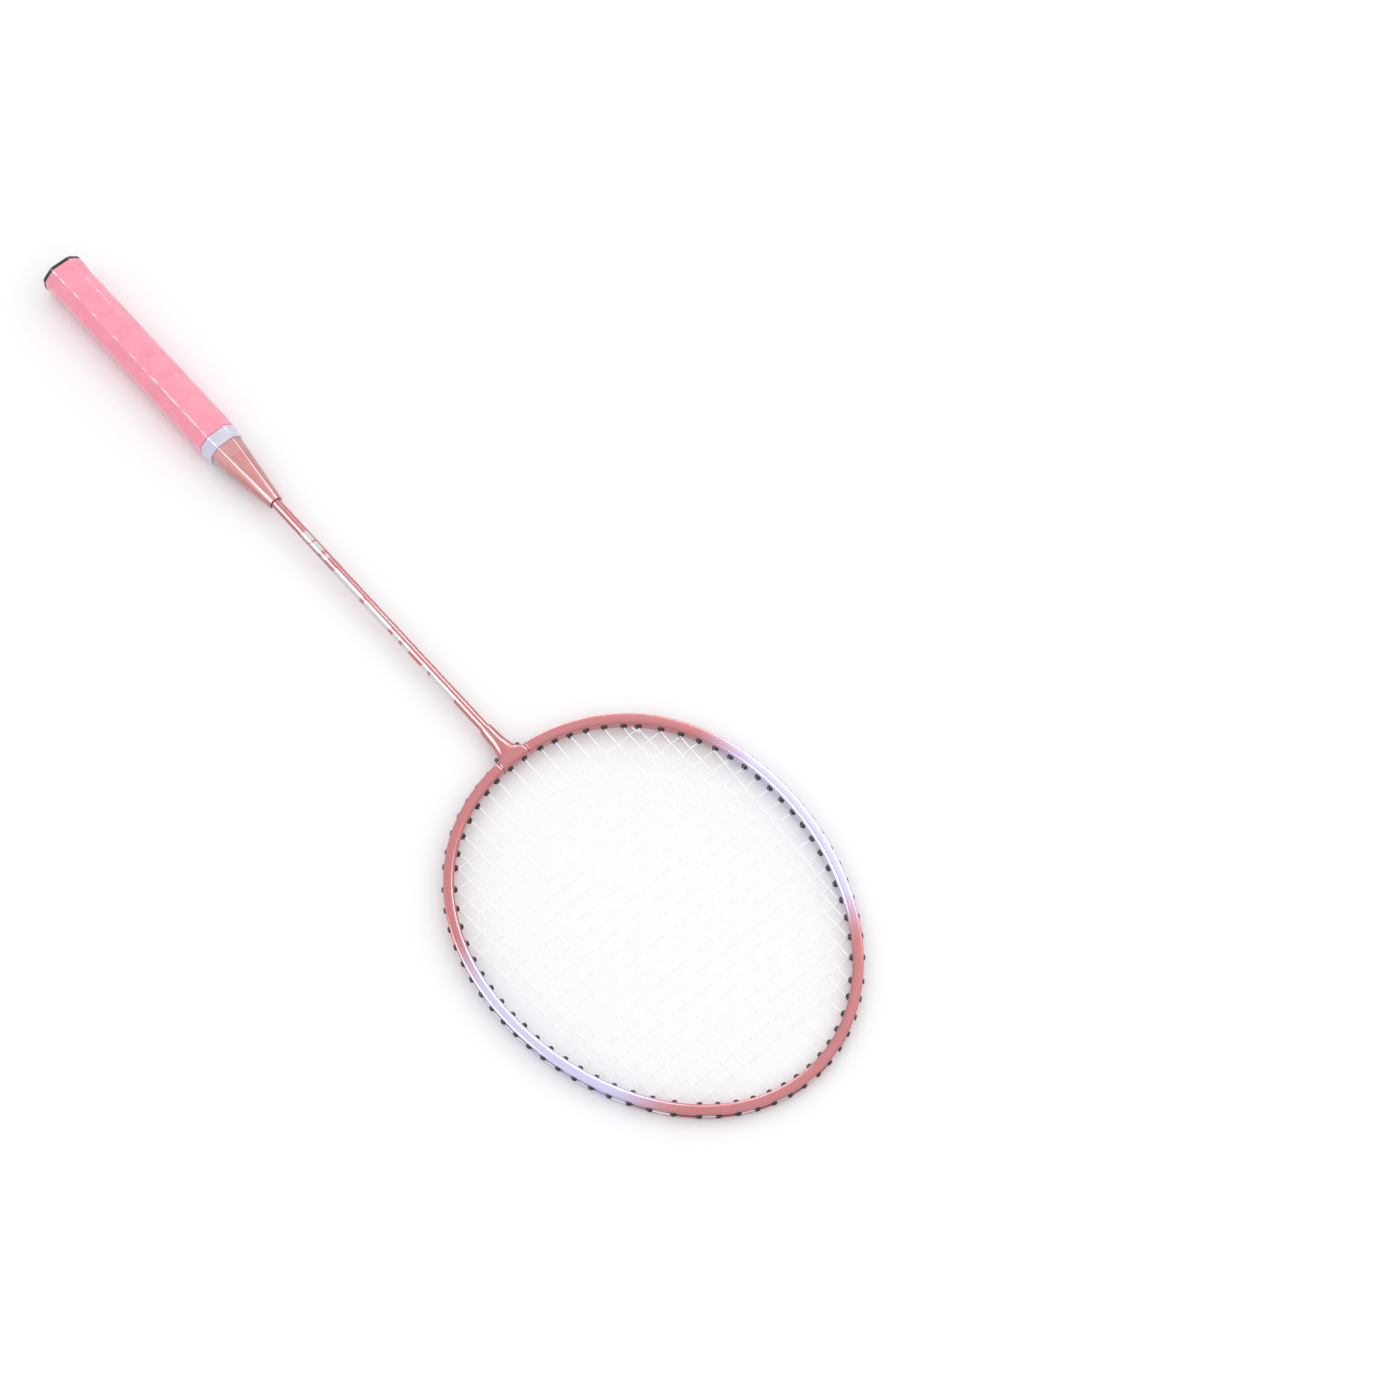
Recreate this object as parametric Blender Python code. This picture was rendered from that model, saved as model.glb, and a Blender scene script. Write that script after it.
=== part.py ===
"""Badminton racket, modelled as the separate pieces it is put together from.

Units are metres. +Y runs along the racket from the butt cap to the tip of the head,
+X goes across the head and +Z stands on the string bed. The origin is the middle of
the butt cap's flat end, and the string bed lies at z = 0.
"""
import math

import bpy
import numpy as np

MM = 0.001

# Clearances
SLIP_GAP = 0.3 * MM            # between pieces that are glued, wrapped or pressed together
STRING_GAP = 0.3 * MM          # between strings that cross or share a bore
CUT_OVERRUN = 2.0 * MM         # how far a cutter runs past what it cuts

# Lengths along the racket
CAP_THICKNESS = 2.2 * MM
CAP_PLUG_LENGTH = 10.0 * MM
GRIP_LENGTH = 146.4 * MM
BAND_WIDTH = 8.4 * MM
CONE_LENGTH = 45.8 * MM        # from the band to the cone's mouth
CONE_UNDER_BAND = 4.0 * MM     # the cone's rim that the band covers
CORE_SPIGOT_LENGTH = 10.0 * MM
SHAFT_EXPOSED = 187.6 * MM     # from the cone's mouth to the neck of the T-joint
SHAFT_IN_CORE = 70.0 * MM      # from the band down into the handle
SHAFT_IN_NECK = 14.0 * MM
NECK_LENGTH = 24.2 * MM        # from the neck's edge to the hoop's centreline
NECK_STRAIGHT = 11.0 * MM      # before the neck flares into the sleeve
FILM_PAST_BAND = 10.5 * MM

# The octagonal handle
CORE_WIDTH = 20.6 * MM
CORE_HEIGHT = 17.2 * MM
CORE_BEVEL = 5.0 * MM          # size of the octagon's slanting faces
BUTT_FLARE = 0.7 * MM          # how much each face stands out at the butt
FLARE_LENGTH = 16.0 * MM
WRAP_THICKNESS = 1.6 * MM
BAND_THICKNESS = 0.5 * MM
FILM_THICKNESS = 0.3 * MM
CAP_CHAMFER = 0.8 * MM
CAP_PLUG_RADIUS = 4.2 * MM
CONE_WALL = 1.6 * MM
CONE_MOUTH_LIP = 0.8 * MM      # the cone's wall at its mouth
CONE_MOUTH_GAP = 0.6 * MM      # open ring between the cone's mouth and the shaft
CONE_HOLLOW = 0.06             # how much the cone's outline bows inwards

# The shaft
SHAFT_RADIUS = 3.1 * MM
SHAFT_WALL = 0.9 * MM

# The head's centreline: x = half width * sin a * (1 + fullness * cos a + square * cos a squared)
HEAD_HALF_WIDTH = 100.9 * MM
HEAD_HALF_LENGTH = 122.55 * MM
THROAT_FULLNESS = 0.07
END_SQUARENESS = 0.04
HOOP_DEPTH = 6.2 * MM          # across the tube, in the plane of the strings
HOOP_HEIGHT = 8.0 * MM
HOOP_WALL = 0.9 * MM
HOOP_CORNER = 1.1 * MM
GROOVE_DEPTH = 1.2 * MM        # of the groove that the strings lie in

# The T-joint
COLLAR_WALL = 0.5 * MM         # round the shaft at the neck's edge
NECK_SWELL = 0.6 * MM          # how much wider the neck is where its flare starts
COLLAR_CHAMFER = 0.4 * MM
SLEEVE_HALF_WIDTH = 9.4 * MM   # from the axis to each seam with the hoop
SLEEVE_STAND = 0.15 * MM       # how far the sleeve stands proud of the hoop
HOOP_SPIGOT_LENGTH = 9.0 * MM
THROAT_HOLE_TILT = math.radians(14.0)

# Stringing
MAINS_PER_SIDE = 11
CROSSES = 21
HOLES_PER_SIDE = 34
FIRST_CROSS_HOLE = 8
OUTER_MAIN_HOLES = (12, 24)    # the outermost main skips hole 11
STRING_RADIUS = 0.35 * MM
BORE_ESCAPE = 1.2 * MM         # how far inside the head a cross leaves its bore's level
FIRST_MAIN = 4.5 * MM          # from the axis to the first main
SECOND_MAIN = 15.6 * MM        # at the throat, where the seam with the hoop lies between them
THROAT_MAIN_INSET = 41.5 * MM  # from the hoop's widest point in to the seventh main
TIP_MAIN_INSET = 54.3 * MM     # the same at the tip, to the sixth main
THROAT_CROSS_MARGIN = 31.0 * MM
TIP_CROSS_MARGIN = 26.6 * MM

# Grommets
BORE_GAP = 0.15 * MM           # between the bore and the two strings that share it
BARREL_WALL = 0.4 * MM
BARREL_STAND = 1.6 * MM        # how far a barrel stands into the head
THROAT_BARREL_LENGTH = 12.4 * MM
FLANGE_HALF_LENGTH = 2.7 * MM
THROAT_FLANGE_HALF_LENGTH = 1.7 * MM
FLANGE_SIDE_GAP = 0.35 * MM    # between the flange and each side of the groove
FLANGE_THICKNESS = 0.4 * MM
BARREL_BUMP = 0.25 * MM        # the barrel's rim above its flange

# Fineness of the meshes
RING_POINTS = 16               # round every ring of the handle, the shaft and the neck
CONE_RINGS = 7
NECK_FLARE_STEPS = 5
SLEEVE_RINGS = 7
SPIGOT_RINGS = 9
HOOP_STEPS = 48
HOLE_SIDES = 6
STRING_SIDES = 4
HALVINGS = 60                  # of the interval when a place on the hoop is searched for
SMOOTH_ANGLE = math.radians(35.0)

# Places along the axis that follow from the sizes above
GRIP_START = CAP_THICKNESS + SLIP_GAP
GRIP_END = GRIP_START + GRIP_LENGTH
BAND_START = GRIP_END + SLIP_GAP
BAND_END = BAND_START + BAND_WIDTH
CONE_START = BAND_END - CONE_UNDER_BAND
CORE_END = CONE_START - SLIP_GAP
CONE_END = BAND_END + CONE_LENGTH
SHAFT_START = BAND_END - SHAFT_IN_CORE
NECK_START = CONE_END + SHAFT_EXPOSED
THROAT_Y = NECK_START + NECK_LENGTH
HEAD_CENTRE_Y = THROAT_Y + HEAD_HALF_LENGTH
TIP_Y = HEAD_CENTRE_Y + HEAD_HALF_LENGTH

# Sizes across the pieces that follow from the sizes above
CONE_MOUTH_RADIUS = SHAFT_RADIUS + CONE_MOUTH_GAP + CONE_MOUTH_LIP
COLLAR_RADIUS = SHAFT_RADIUS + SLIP_GAP + COLLAR_WALL
NECK_RADIUS = COLLAR_RADIUS + NECK_SWELL
BORE_RADIUS = 2 * STRING_RADIUS + STRING_GAP / 2 + BORE_GAP
BARREL_RADIUS = BORE_RADIUS + BARREL_WALL
HOLE_RADIUS = BARREL_RADIUS + SLIP_GAP
GROOVE_WIDTH = 2 * HOLE_RADIUS
FLANGE_HALF_WIDTH = GROOVE_WIDTH / 2 - FLANGE_SIDE_GAP
GROOVE_FLOOR = HOOP_DEPTH / 2 - GROOVE_DEPTH
FLANGE_FLOOR = GROOVE_FLOOR + SLIP_GAP
STRING_LEVEL = STRING_RADIUS + STRING_GAP / 2
LOOP_LEVEL = FLANGE_FLOOR + FLANGE_THICKNESS + BARREL_BUMP + STRING_RADIUS
WEAVE_HEIGHT = 2 * STRING_RADIUS + STRING_GAP


def clear_scene():
    for item in list(bpy.data.objects):
        bpy.data.objects.remove(item, do_unlink=True)


def material(name, colour, roughness, metallic):
    made = bpy.data.materials.new(name)
    made.use_nodes = True
    shader = made.node_tree.nodes["Principled BSDF"]
    shader.inputs["Base Color"].default_value = (*colour, 1.0)
    shader.inputs["Roughness"].default_value = roughness
    shader.inputs["Metallic"].default_value = metallic
    return made


def add_piece(name, vertices, faces, finish=None, smooth=False):
    mesh = bpy.data.meshes.new(name)
    mesh.from_pydata([tuple(v) for v in vertices], [], faces)
    mesh.validate()
    if smooth:
        mesh.shade_smooth()
        mesh.set_sharp_from_angle(angle=SMOOTH_ANGLE)
    if finish is not None:
        mesh.materials.append(finish)
    piece = bpy.data.objects.new(name, mesh)
    bpy.context.collection.objects.link(piece)
    return piece


def spaced(first, last, count, index):
    """The value at index out of count even steps from first to last."""
    return first + (last - first) * index / (count - 1)


def skin(rings, closed):
    """Vertices and faces of a skin over equal rings. Closed joins the last ring to the first."""
    count = len(rings[0])
    vertices = [point for ring in rings for point in ring]
    faces = []
    last = len(rings) if closed else len(rings) - 1
    for row in range(last):
        low = row * count
        high = ((row + 1) % len(rings)) * count
        for i in range(count):
            j = (i + 1) % count
            faces.append((low + i, low + j, high + j, high + i))
    if not closed:
        faces.append(tuple(reversed(range(count))))
        top = (len(rings) - 1) * count
        faces.append(tuple(range(top, top + count)))
    return vertices, faces


def facing_out(vertices, faces):
    """The same faces, turned round if they enclose a negative volume."""
    points = np.array(vertices)
    volume = 0.0
    for face in faces:
        first = points[face[0]]
        for a, b in zip(face[1:-1], face[2:]):
            volume += np.dot(first, np.cross(points[a], points[b]))
    if volume < 0:
        return [tuple(reversed(face)) for face in faces]
    return faces


def skinned_piece(name, rings, closed, finish=None, smooth=False):
    vertices, faces = skin(rings, closed)
    return add_piece(name, vertices, facing_out(vertices, faces), finish, smooth)


def join_shapes(name, shapes):
    """One mesh from several separate closed shapes, each given as rings."""
    vertices, faces = [], []
    for rings in shapes:
        part_vertices, part_faces = skin(rings, closed=False)
        part_faces = facing_out(part_vertices, part_faces)
        start = len(vertices)
        vertices += part_vertices
        faces += [tuple(start + i for i in face) for face in part_faces]
    return add_piece(name, vertices, faces)


def apply_booleans(piece, steps):
    """Runs each (operation, tool) on the piece, keeps the result and removes the tools."""
    for operation, tool in steps:
        step = piece.modifiers.new(operation.lower(), "BOOLEAN")
        step.operation = operation
        step.solver = "EXACT"
        step.object = tool
    bpy.context.view_layer.update()
    shaped = piece.evaluated_get(bpy.context.evaluated_depsgraph_get())
    mesh = bpy.data.meshes.new_from_object(shaped)
    piece.modifiers.clear()
    piece.data = mesh
    mesh.name = piece.name
    for _, tool in steps:
        bpy.data.objects.remove(tool, do_unlink=True)


# Handle

def octagon_ring(y, width, height, bevel):
    """A ring of points round an octagon: its eight corners and the middles of its faces."""
    x, z = width / 2, height / 2
    corners = [
        (x, -(z - bevel)), (x, z - bevel), (x - bevel, z), (-(x - bevel), z),
        (-x, z - bevel), (-x, -(z - bevel)), (-(x - bevel), -z), (x - bevel, -z),
    ]
    ring = []
    for i, (ax, az) in enumerate(corners):
        bx, bz = corners[(i + 1) % len(corners)]
        ring.append((ax, y, az))
        ring.append(((ax + bx) / 2, y, (az + bz) / 2))
    return ring


def handle_ring(y, offset):
    """The core's octagon at y, moved outwards by offset, with the flare towards the butt."""
    along = min(max((y - CAP_THICKNESS) / FLARE_LENGTH, 0.0), 1.0)
    flare = BUTT_FLARE * (1 + math.cos(math.pi * along)) / 2
    grow = offset + flare
    bevel = CORE_BEVEL + grow * (2 - math.sqrt(2))
    return octagon_ring(y, CORE_WIDTH + 2 * grow, CORE_HEIGHT + 2 * grow, bevel)


def round_ring(y, radius):
    """A round ring whose points stand opposite those of an octagon ring."""
    first = -math.pi / 8
    ring = []
    for i in range(RING_POINTS):
        angle = first + 2 * math.pi * i / RING_POINTS
        ring.append((radius * math.cos(angle), y, radius * math.sin(angle)))
    return ring


def cone_ring(y, inset):
    """The cone's outline at y, which turns from the core's octagon into a circle."""
    along = min(max((y - BAND_END) / CONE_LENGTH, 0.0), 1.0)
    shrink = along + CONE_HOLLOW * along * (1 - along)
    octagon = np.array(octagon_ring(y, CORE_WIDTH, CORE_HEIGHT, CORE_BEVEL))
    circle = np.array(round_ring(y, CONE_MOUTH_RADIUS))
    ring = octagon * (1 - shrink) + circle * shrink
    across = np.linalg.norm(ring[:, [0, 2]], axis=1)
    scale = (across - inset) / across
    ring[:, 0] *= scale
    ring[:, 2] *= scale
    return [tuple(point) for point in ring]


def flare_places():
    """Where rings are needed to follow the flare at the butt."""
    return [CAP_THICKNESS + FLARE_LENGTH * share for share in (0.25, 0.5, 0.75, 1.0)]


def build_butt_cap(finish):
    stand = SLIP_GAP + WRAP_THICKNESS
    rings = [
        handle_ring(0.0, stand - CAP_CHAMFER),
        handle_ring(CAP_CHAMFER, stand),
        handle_ring(CAP_THICKNESS, stand),
        round_ring(CAP_THICKNESS, CAP_PLUG_RADIUS),
        round_ring(CAP_THICKNESS + CAP_PLUG_LENGTH, CAP_PLUG_RADIUS),
    ]
    skinned_piece("butt_cap", rings, False, finish)


def build_handle_core(finish):
    bore = SHAFT_RADIUS + SLIP_GAP
    socket = CAP_PLUG_RADIUS + SLIP_GAP
    spigot_end = CORE_END + CORE_SPIGOT_LENGTH
    rings = [
        round_ring(SHAFT_START - SLIP_GAP, bore),
        round_ring(spigot_end, bore),
        cone_ring(spigot_end, CONE_WALL + SLIP_GAP),
        cone_ring(CORE_END, CONE_WALL + SLIP_GAP),
        handle_ring(CORE_END, 0.0),
    ]
    rings += [handle_ring(y, 0.0) for y in reversed(flare_places())]
    rings += [
        handle_ring(GRIP_START, 0.0),
        round_ring(GRIP_START, socket),
        round_ring(CAP_THICKNESS + CAP_PLUG_LENGTH + SLIP_GAP, socket),
    ]
    skinned_piece("handle_core", rings, False, finish)


def handle_sleeve(name, places, inner, thickness, finish):
    """A wrapped layer on the handle: a closed tube between two offsets of the octagon."""
    rings = [handle_ring(y, inner + thickness) for y in places]
    rings += [handle_ring(y, inner) for y in reversed(places)]
    return skinned_piece(name, rings, True, finish)


def build_grip_wrap(finish):
    places = [GRIP_START] + flare_places() + [GRIP_END]
    handle_sleeve("grip_wrap", places, SLIP_GAP, WRAP_THICKNESS, finish)


def build_finishing_band(finish):
    handle_sleeve("finishing_band", [BAND_START, BAND_END], SLIP_GAP, BAND_THICKNESS, finish)


def build_grip_film(finish):
    """Clear film that follows the wrap, steps down over the band and ends on the cone."""
    over_wrap = 2 * SLIP_GAP + WRAP_THICKNESS
    over_band = 2 * SLIP_GAP + BAND_THICKNESS
    step = WRAP_THICKNESS
    rings = []
    for thickness in (FILM_THICKNESS, 0.0):
        row = [handle_ring(GRIP_START, over_wrap + thickness)]
        row += [handle_ring(y, over_wrap + thickness) for y in flare_places()]
        row.append(handle_ring(GRIP_END + SLIP_GAP, over_wrap + thickness))
        row.append(handle_ring(GRIP_END + SLIP_GAP + step, over_band + thickness))
        row.append(handle_ring(BAND_END + SLIP_GAP, over_band + thickness))
        row.append(cone_ring(BAND_END + FILM_PAST_BAND, -SLIP_GAP - thickness))
        rings.append(row)
    skinned_piece("grip_film", rings[0] + rings[1][::-1], True, finish)


def build_handle_cone(finish):
    places = [spaced(BAND_END, CONE_END, CONE_RINGS, i) for i in range(CONE_RINGS)]
    outer = [cone_ring(y, 0.0) for y in [CONE_START] + places]
    spigot_room = CORE_END + CORE_SPIGOT_LENGTH + SLIP_GAP
    mouth = SHAFT_RADIUS + CONE_MOUTH_GAP
    inner = [
        round_ring(CONE_END, mouth),
        round_ring(spigot_room + CONE_WALL, mouth),
        cone_ring(spigot_room, CONE_WALL),
        cone_ring(CONE_START, CONE_WALL),
    ]
    skinned_piece("handle_cone", outer + inner, True, finish, smooth=True)


def build_shaft(finish):
    end = NECK_START + SHAFT_IN_NECK
    rings = [
        round_ring(SHAFT_START, SHAFT_RADIUS),
        round_ring(end, SHAFT_RADIUS),
        round_ring(end, SHAFT_RADIUS - SHAFT_WALL),
        round_ring(SHAFT_START, SHAFT_RADIUS - SHAFT_WALL),
    ]
    skinned_piece("shaft", rings, True, finish, smooth=True)


# Head

def head_point(turn):
    """A point on the hoop's centreline. Turn goes from 0 at the throat to pi at the tip."""
    cos, sin = math.cos(turn), math.sin(turn)
    fullness = 1 + THROAT_FULLNESS * cos + END_SQUARENESS * cos ** 2
    return np.array([
        HEAD_HALF_WIDTH * sin * fullness, HEAD_CENTRE_Y - HEAD_HALF_LENGTH * cos, 0.0,
    ])


def head_normal(turn):
    """The outward direction across the hoop, in the plane of the strings."""
    cos, sin = math.cos(turn), math.sin(turn)
    fullness = 1 + THROAT_FULLNESS * cos + END_SQUARENESS * cos ** 2
    change = -sin * (THROAT_FULLNESS + 2 * END_SQUARENESS * cos)
    along_x = HEAD_HALF_WIDTH * (cos * fullness + sin * change)
    along_y = HEAD_HALF_LENGTH * sin
    return np.array([along_y, -along_x, 0.0]) / math.hypot(along_x, along_y)


def solve_turn(measure, target, low, high):
    """The turn between low and high at which a rising measure reaches the target."""
    for _ in range(HALVINGS):
        middle = (low + high) / 2
        if measure(middle) < target:
            low = middle
        else:
            high = middle
    return (low + high) / 2


def mouth_point(turn):
    """Where a grommet's barrel ends inside the head."""
    return head_point(turn) - head_normal(turn) * (HOOP_DEPTH / 2 + BARREL_STAND)


def hole_turns():
    """The turn of each string hole on one side, from the throat to the tip."""
    turns = [solve_turn(lambda a: mouth_point(a)[0], FIRST_MAIN, 0.0, math.pi / 2)]
    last_cross_hole = FIRST_CROSS_HOLE + CROSSES - 1
    throat_mains = FIRST_CROSS_HOLE - 2
    tip_mains = HOLES_PER_SIDE - last_cross_hole
    for i in range(throat_mains):
        x = spaced(SECOND_MAIN, HEAD_HALF_WIDTH - THROAT_MAIN_INSET, throat_mains, i)
        turns.append(solve_turn(lambda a: mouth_point(a)[0], x, 0.0, math.pi / 2))
    for i in range(CROSSES):
        y = spaced(THROAT_Y + THROAT_CROSS_MARGIN, TIP_Y - TIP_CROSS_MARGIN, CROSSES, i)
        turns.append(solve_turn(lambda a: mouth_point(a)[1], y, 0.0, math.pi))
    for i in range(tip_mains):
        x = spaced(HEAD_HALF_WIDTH - TIP_MAIN_INSET, FIRST_MAIN, tip_mains, i)
        turns.append(solve_turn(lambda a: -mouth_point(a)[0], -x, math.pi / 2, math.pi))
    return turns


class Hole:
    """One string hole: its mouth inside the head, its outward direction and its far end."""

    def __init__(self, number, turn, side):
        self.number = number
        mirror = np.array([side, 1.0, 1.0])
        outward = head_normal(turn)
        self.mouth = mouth_point(turn) * mirror
        self.length = HOOP_DEPTH / 2 + BARREL_STAND + FLANGE_FLOOR
        if number == 1:
            cos, sin = math.cos(THROAT_HOLE_TILT), math.sin(THROAT_HOLE_TILT)
            outward = np.array([
                outward[0] * cos - outward[1] * sin, outward[0] * sin + outward[1] * cos, 0.0,
            ])
            self.length = THROAT_BARREL_LENGTH
        self.outward = outward * mirror

    def at(self, distance):
        """A point on the hole's axis, measured outwards from the mouth."""
        return self.mouth + self.outward * distance


def bar(start, end, half_across, half_up, sides=4):
    """Rings of a straight bar that lies in the plane of the strings, with an upright section."""
    along = (end - start) / np.linalg.norm(end - start)
    across = np.array([-along[1], along[0], 0.0])
    up = np.array([0.0, 0.0, 1.0])
    first = math.pi / sides
    reach = 1 / math.cos(first)
    section = []
    for i in range(sides):
        angle = first + 2 * math.pi * i / sides
        out_across = half_across * reach * math.cos(angle)
        out_up = half_up * reach * math.sin(angle)
        section.append(across * out_across + up * out_up)
    return [[tuple(end_point + offset) for offset in section] for end_point in (start, end)]


def round_bar(start, end, radius):
    return bar(start, end, radius, radius, HOLE_SIDES)


def hoop_section(grooved):
    """The hoop's outline as (outwards, up) points, with or without the groove for the strings."""
    depth, height = HOOP_DEPTH / 2, HOOP_HEIGHT / 2
    upper = [
        (-depth, height - 2 * HOOP_CORNER), (-depth + HOOP_CORNER, height),
        (depth - HOOP_CORNER, height), (depth, height - HOOP_CORNER),
    ]
    if grooved:
        upper += [(depth, GROOVE_WIDTH / 2), (GROOVE_FLOOR, GROOVE_WIDTH / 2)]
    return upper + [(out, -up) for out, up in reversed(upper)]


def inset_section(section, distance):
    """The section with each of its edges moved inwards by distance."""
    points = np.array(section)
    before = points - np.roll(points, 1, axis=0)
    after = np.roll(points, -1, axis=0) - points
    moved = []
    for point, first, second in zip(points, before, after):
        first = first / np.linalg.norm(first)
        second = second / np.linalg.norm(second)
        inward = np.array([first[1] + second[1], -(first[0] + second[0])])
        moved.append(point + inward * distance / (1 + np.dot(first, second)))
    return [tuple(point) for point in moved]


def sweep_rings(section, turns):
    """The section carried along the head's centreline. A negative turn is on the -X side."""
    rings = []
    for turn in turns:
        side = -1.0 if turn < 0 else 1.0
        mirror = np.array([side, 1.0, 1.0])
        centre = head_point(abs(turn)) * mirror
        normal = head_normal(abs(turn)) * mirror
        ring = [centre + normal * out + np.array([0.0, 0.0, up]) for out, up in section]
        rings.append([tuple(point) for point in ring])
    return rings


def seam_turn(past):
    """The turn of a place on the hoop this far past the sleeve's edge."""
    reach = SLEEVE_HALF_WIDTH + past
    return solve_turn(lambda a: head_point(a)[0], reach, 0.0, math.pi / 2)


def hoop_turns():
    """Turns from one seam round the tip to the other. Past pi they come back on the -X side."""
    start = seam_turn(SLIP_GAP)
    turns = []
    for i in range(HOOP_STEPS + 1):
        turn = spaced(start, 2 * math.pi - start, HOOP_STEPS + 1, i)
        turns.append(turn if turn <= math.pi else turn - 2 * math.pi)
    return turns


def build_head_hoop(holes, finish):
    turns = hoop_turns()
    outside = hoop_section(grooved=True)
    rings = sweep_rings(outside, turns)
    rings += sweep_rings(inset_section(outside, HOOP_WALL), turns)[::-1]
    hoop = skinned_piece("head_hoop", rings, True, finish)
    drill = join_shapes("string_hole_drill", [
        round_bar(hole.at(0.0), hole.at(hole.length + CUT_OVERRUN), HOLE_RADIUS)
        for hole in holes if hole.number > 1
    ])
    apply_booleans(hoop, [("DIFFERENCE", drill)])


def neck_rings():
    """The neck from its chamfered edge, with a concave flare into the sleeve."""
    straight_end = NECK_START + NECK_STRAIGHT
    flare_end = THROAT_Y - HOOP_DEPTH / 2
    stations = [
        (NECK_START, COLLAR_RADIUS - COLLAR_CHAMFER, COLLAR_RADIUS - COLLAR_CHAMFER),
        (NECK_START + COLLAR_CHAMFER, COLLAR_RADIUS, COLLAR_RADIUS),
        (straight_end, NECK_RADIUS, COLLAR_RADIUS),
    ]
    flare = SLEEVE_HALF_WIDTH - NECK_RADIUS - SLIP_GAP
    for i in range(1, NECK_FLARE_STEPS + 1):
        angle = math.pi / 2 * i / NECK_FLARE_STEPS
        y = straight_end + (flare_end - straight_end) * math.sin(angle)
        stations.append((y, NECK_RADIUS + flare * (1 - math.cos(angle)), COLLAR_RADIUS))
    stations.append((THROAT_Y, NECK_RADIUS + flare, COLLAR_RADIUS))
    rings = []
    for y, across, up in stations:
        rings.append([(x * across, y, z * up) for x, y, z in round_ring(y, 1.0)])
    return rings


def build_t_joint(holes, finish):
    joint = skinned_piece("t_joint", neck_rings(), False, finish, smooth=True)
    seam = seam_turn(0.0)
    turns = [spaced(-seam, seam, SLEEVE_RINGS, i) for i in range(SLEEVE_RINGS)]
    sleeve_section = inset_section(hoop_section(grooved=False), -SLEEVE_STAND)
    sleeve = skinned_piece("sleeve", sweep_rings(sleeve_section, turns), False)
    end = seam_turn(HOOP_SPIGOT_LENGTH)
    turns = [spaced(-end, end, SPIGOT_RINGS, i) for i in range(SPIGOT_RINGS)]
    spigot_section = inset_section(hoop_section(grooved=True), HOOP_WALL + SLIP_GAP)
    spigots = skinned_piece("spigots", sweep_rings(spigot_section, turns), False)
    bore = join_shapes("shaft_bore", [[
        round_ring(NECK_START - CUT_OVERRUN, SHAFT_RADIUS + SLIP_GAP),
        round_ring(NECK_START + SHAFT_IN_NECK + SLIP_GAP, SHAFT_RADIUS + SLIP_GAP),
    ]])
    drill = join_shapes("throat_hole_drill", [
        round_bar(hole.at(-CUT_OVERRUN), hole.at(hole.length + CUT_OVERRUN), HOLE_RADIUS)
        for hole in holes if hole.number <= 2
    ])
    apply_booleans(joint, [
        ("UNION", sleeve), ("UNION", spigots), ("DIFFERENCE", bore), ("DIFFERENCE", drill),
    ])


def build_grommet(name, holes, finish):
    """One or two neighbouring grommets. Two share the strip of their flanges."""
    first, last = holes[0], holes[-1]
    middle = FLANGE_THICKNESS / 2
    start, end = first.at(first.length + middle), last.at(last.length + middle)
    reach = THROAT_FLANGE_HALF_LENGTH if first.number == 1 else FLANGE_HALF_LENGTH
    if len(holes) == 1:
        along = np.array([-first.outward[1], first.outward[0], 0.0])
    else:
        along = (end - start) / np.linalg.norm(end - start)
    strip = bar(start - along * reach, end + along * reach, middle, FLANGE_HALF_WIDTH)
    plate = skinned_piece(name, strip, False, finish)
    rim = FLANGE_THICKNESS + BARREL_BUMP
    barrels = join_shapes("barrels", [
        round_bar(hole.at(0.0), hole.at(hole.length + rim), BARREL_RADIUS) for hole in holes
    ])
    bores = join_shapes("bores", [
        round_bar(hole.at(-CUT_OVERRUN), hole.at(hole.length + CUT_OVERRUN), BORE_RADIUS)
        for hole in holes
    ])
    apply_booleans(plate, [("UNION", barrels), ("DIFFERENCE", bores)])


def build_grommets(sides, finish):
    for side_name, holes in sides.items():
        for number in (1, 2):
            build_grommet(f"grommet_{side_name}_{number:02d}", [holes[number - 1]], finish)
        for number in range(3, HOLES_PER_SIDE, 2):
            name = f"grommet_{side_name}_{number:02d}_{number + 1:02d}"
            build_grommet(name, holes[number - 1:number + 1], finish)


# Stringing

def tube_along(name, points, radius, finish):
    """A tube of a few sides whose rings stand on the points, with both ends closed."""
    points = np.array(points)
    legs = points[1:] - points[:-1]
    legs /= np.linalg.norm(legs, axis=1)[:, None]
    aims = np.vstack([legs[:1], legs[1:] + legs[:-1], legs[-1:]])
    aims /= np.linalg.norm(aims, axis=1)[:, None]
    upright = np.array([0.0, 0.0, 1.0])
    rings = []
    for point, aim in zip(points, aims):
        across = np.cross(aim, upright)
        across /= np.linalg.norm(across)
        up = np.cross(across, aim)
        ring = []
        for i in range(STRING_SIDES):
            angle = 2 * math.pi * i / STRING_SIDES
            ring.append(tuple(point + radius * (across * math.cos(angle) + up * math.sin(angle))))
        rings.append(ring)
    return skinned_piece(name, rings, False, finish)


def exit_path(hole, level):
    """From the hole's mouth out to where the string leaves its grommet, at a height level."""
    lift = np.array([0.0, 0.0, level])
    out = hole.length - FLANGE_FLOOR + LOOP_LEVEL
    path = [hole.at(0.0) + lift, hole.at(out) + lift]
    if hole.number == 1:
        away = np.array([-hole.outward[1], hole.outward[0], 0.0]) * np.sign(hole.mouth[0])
        path.append(path[-1] + away * (BARREL_RADIUS + 2 * STRING_RADIUS))
    return path


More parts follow.
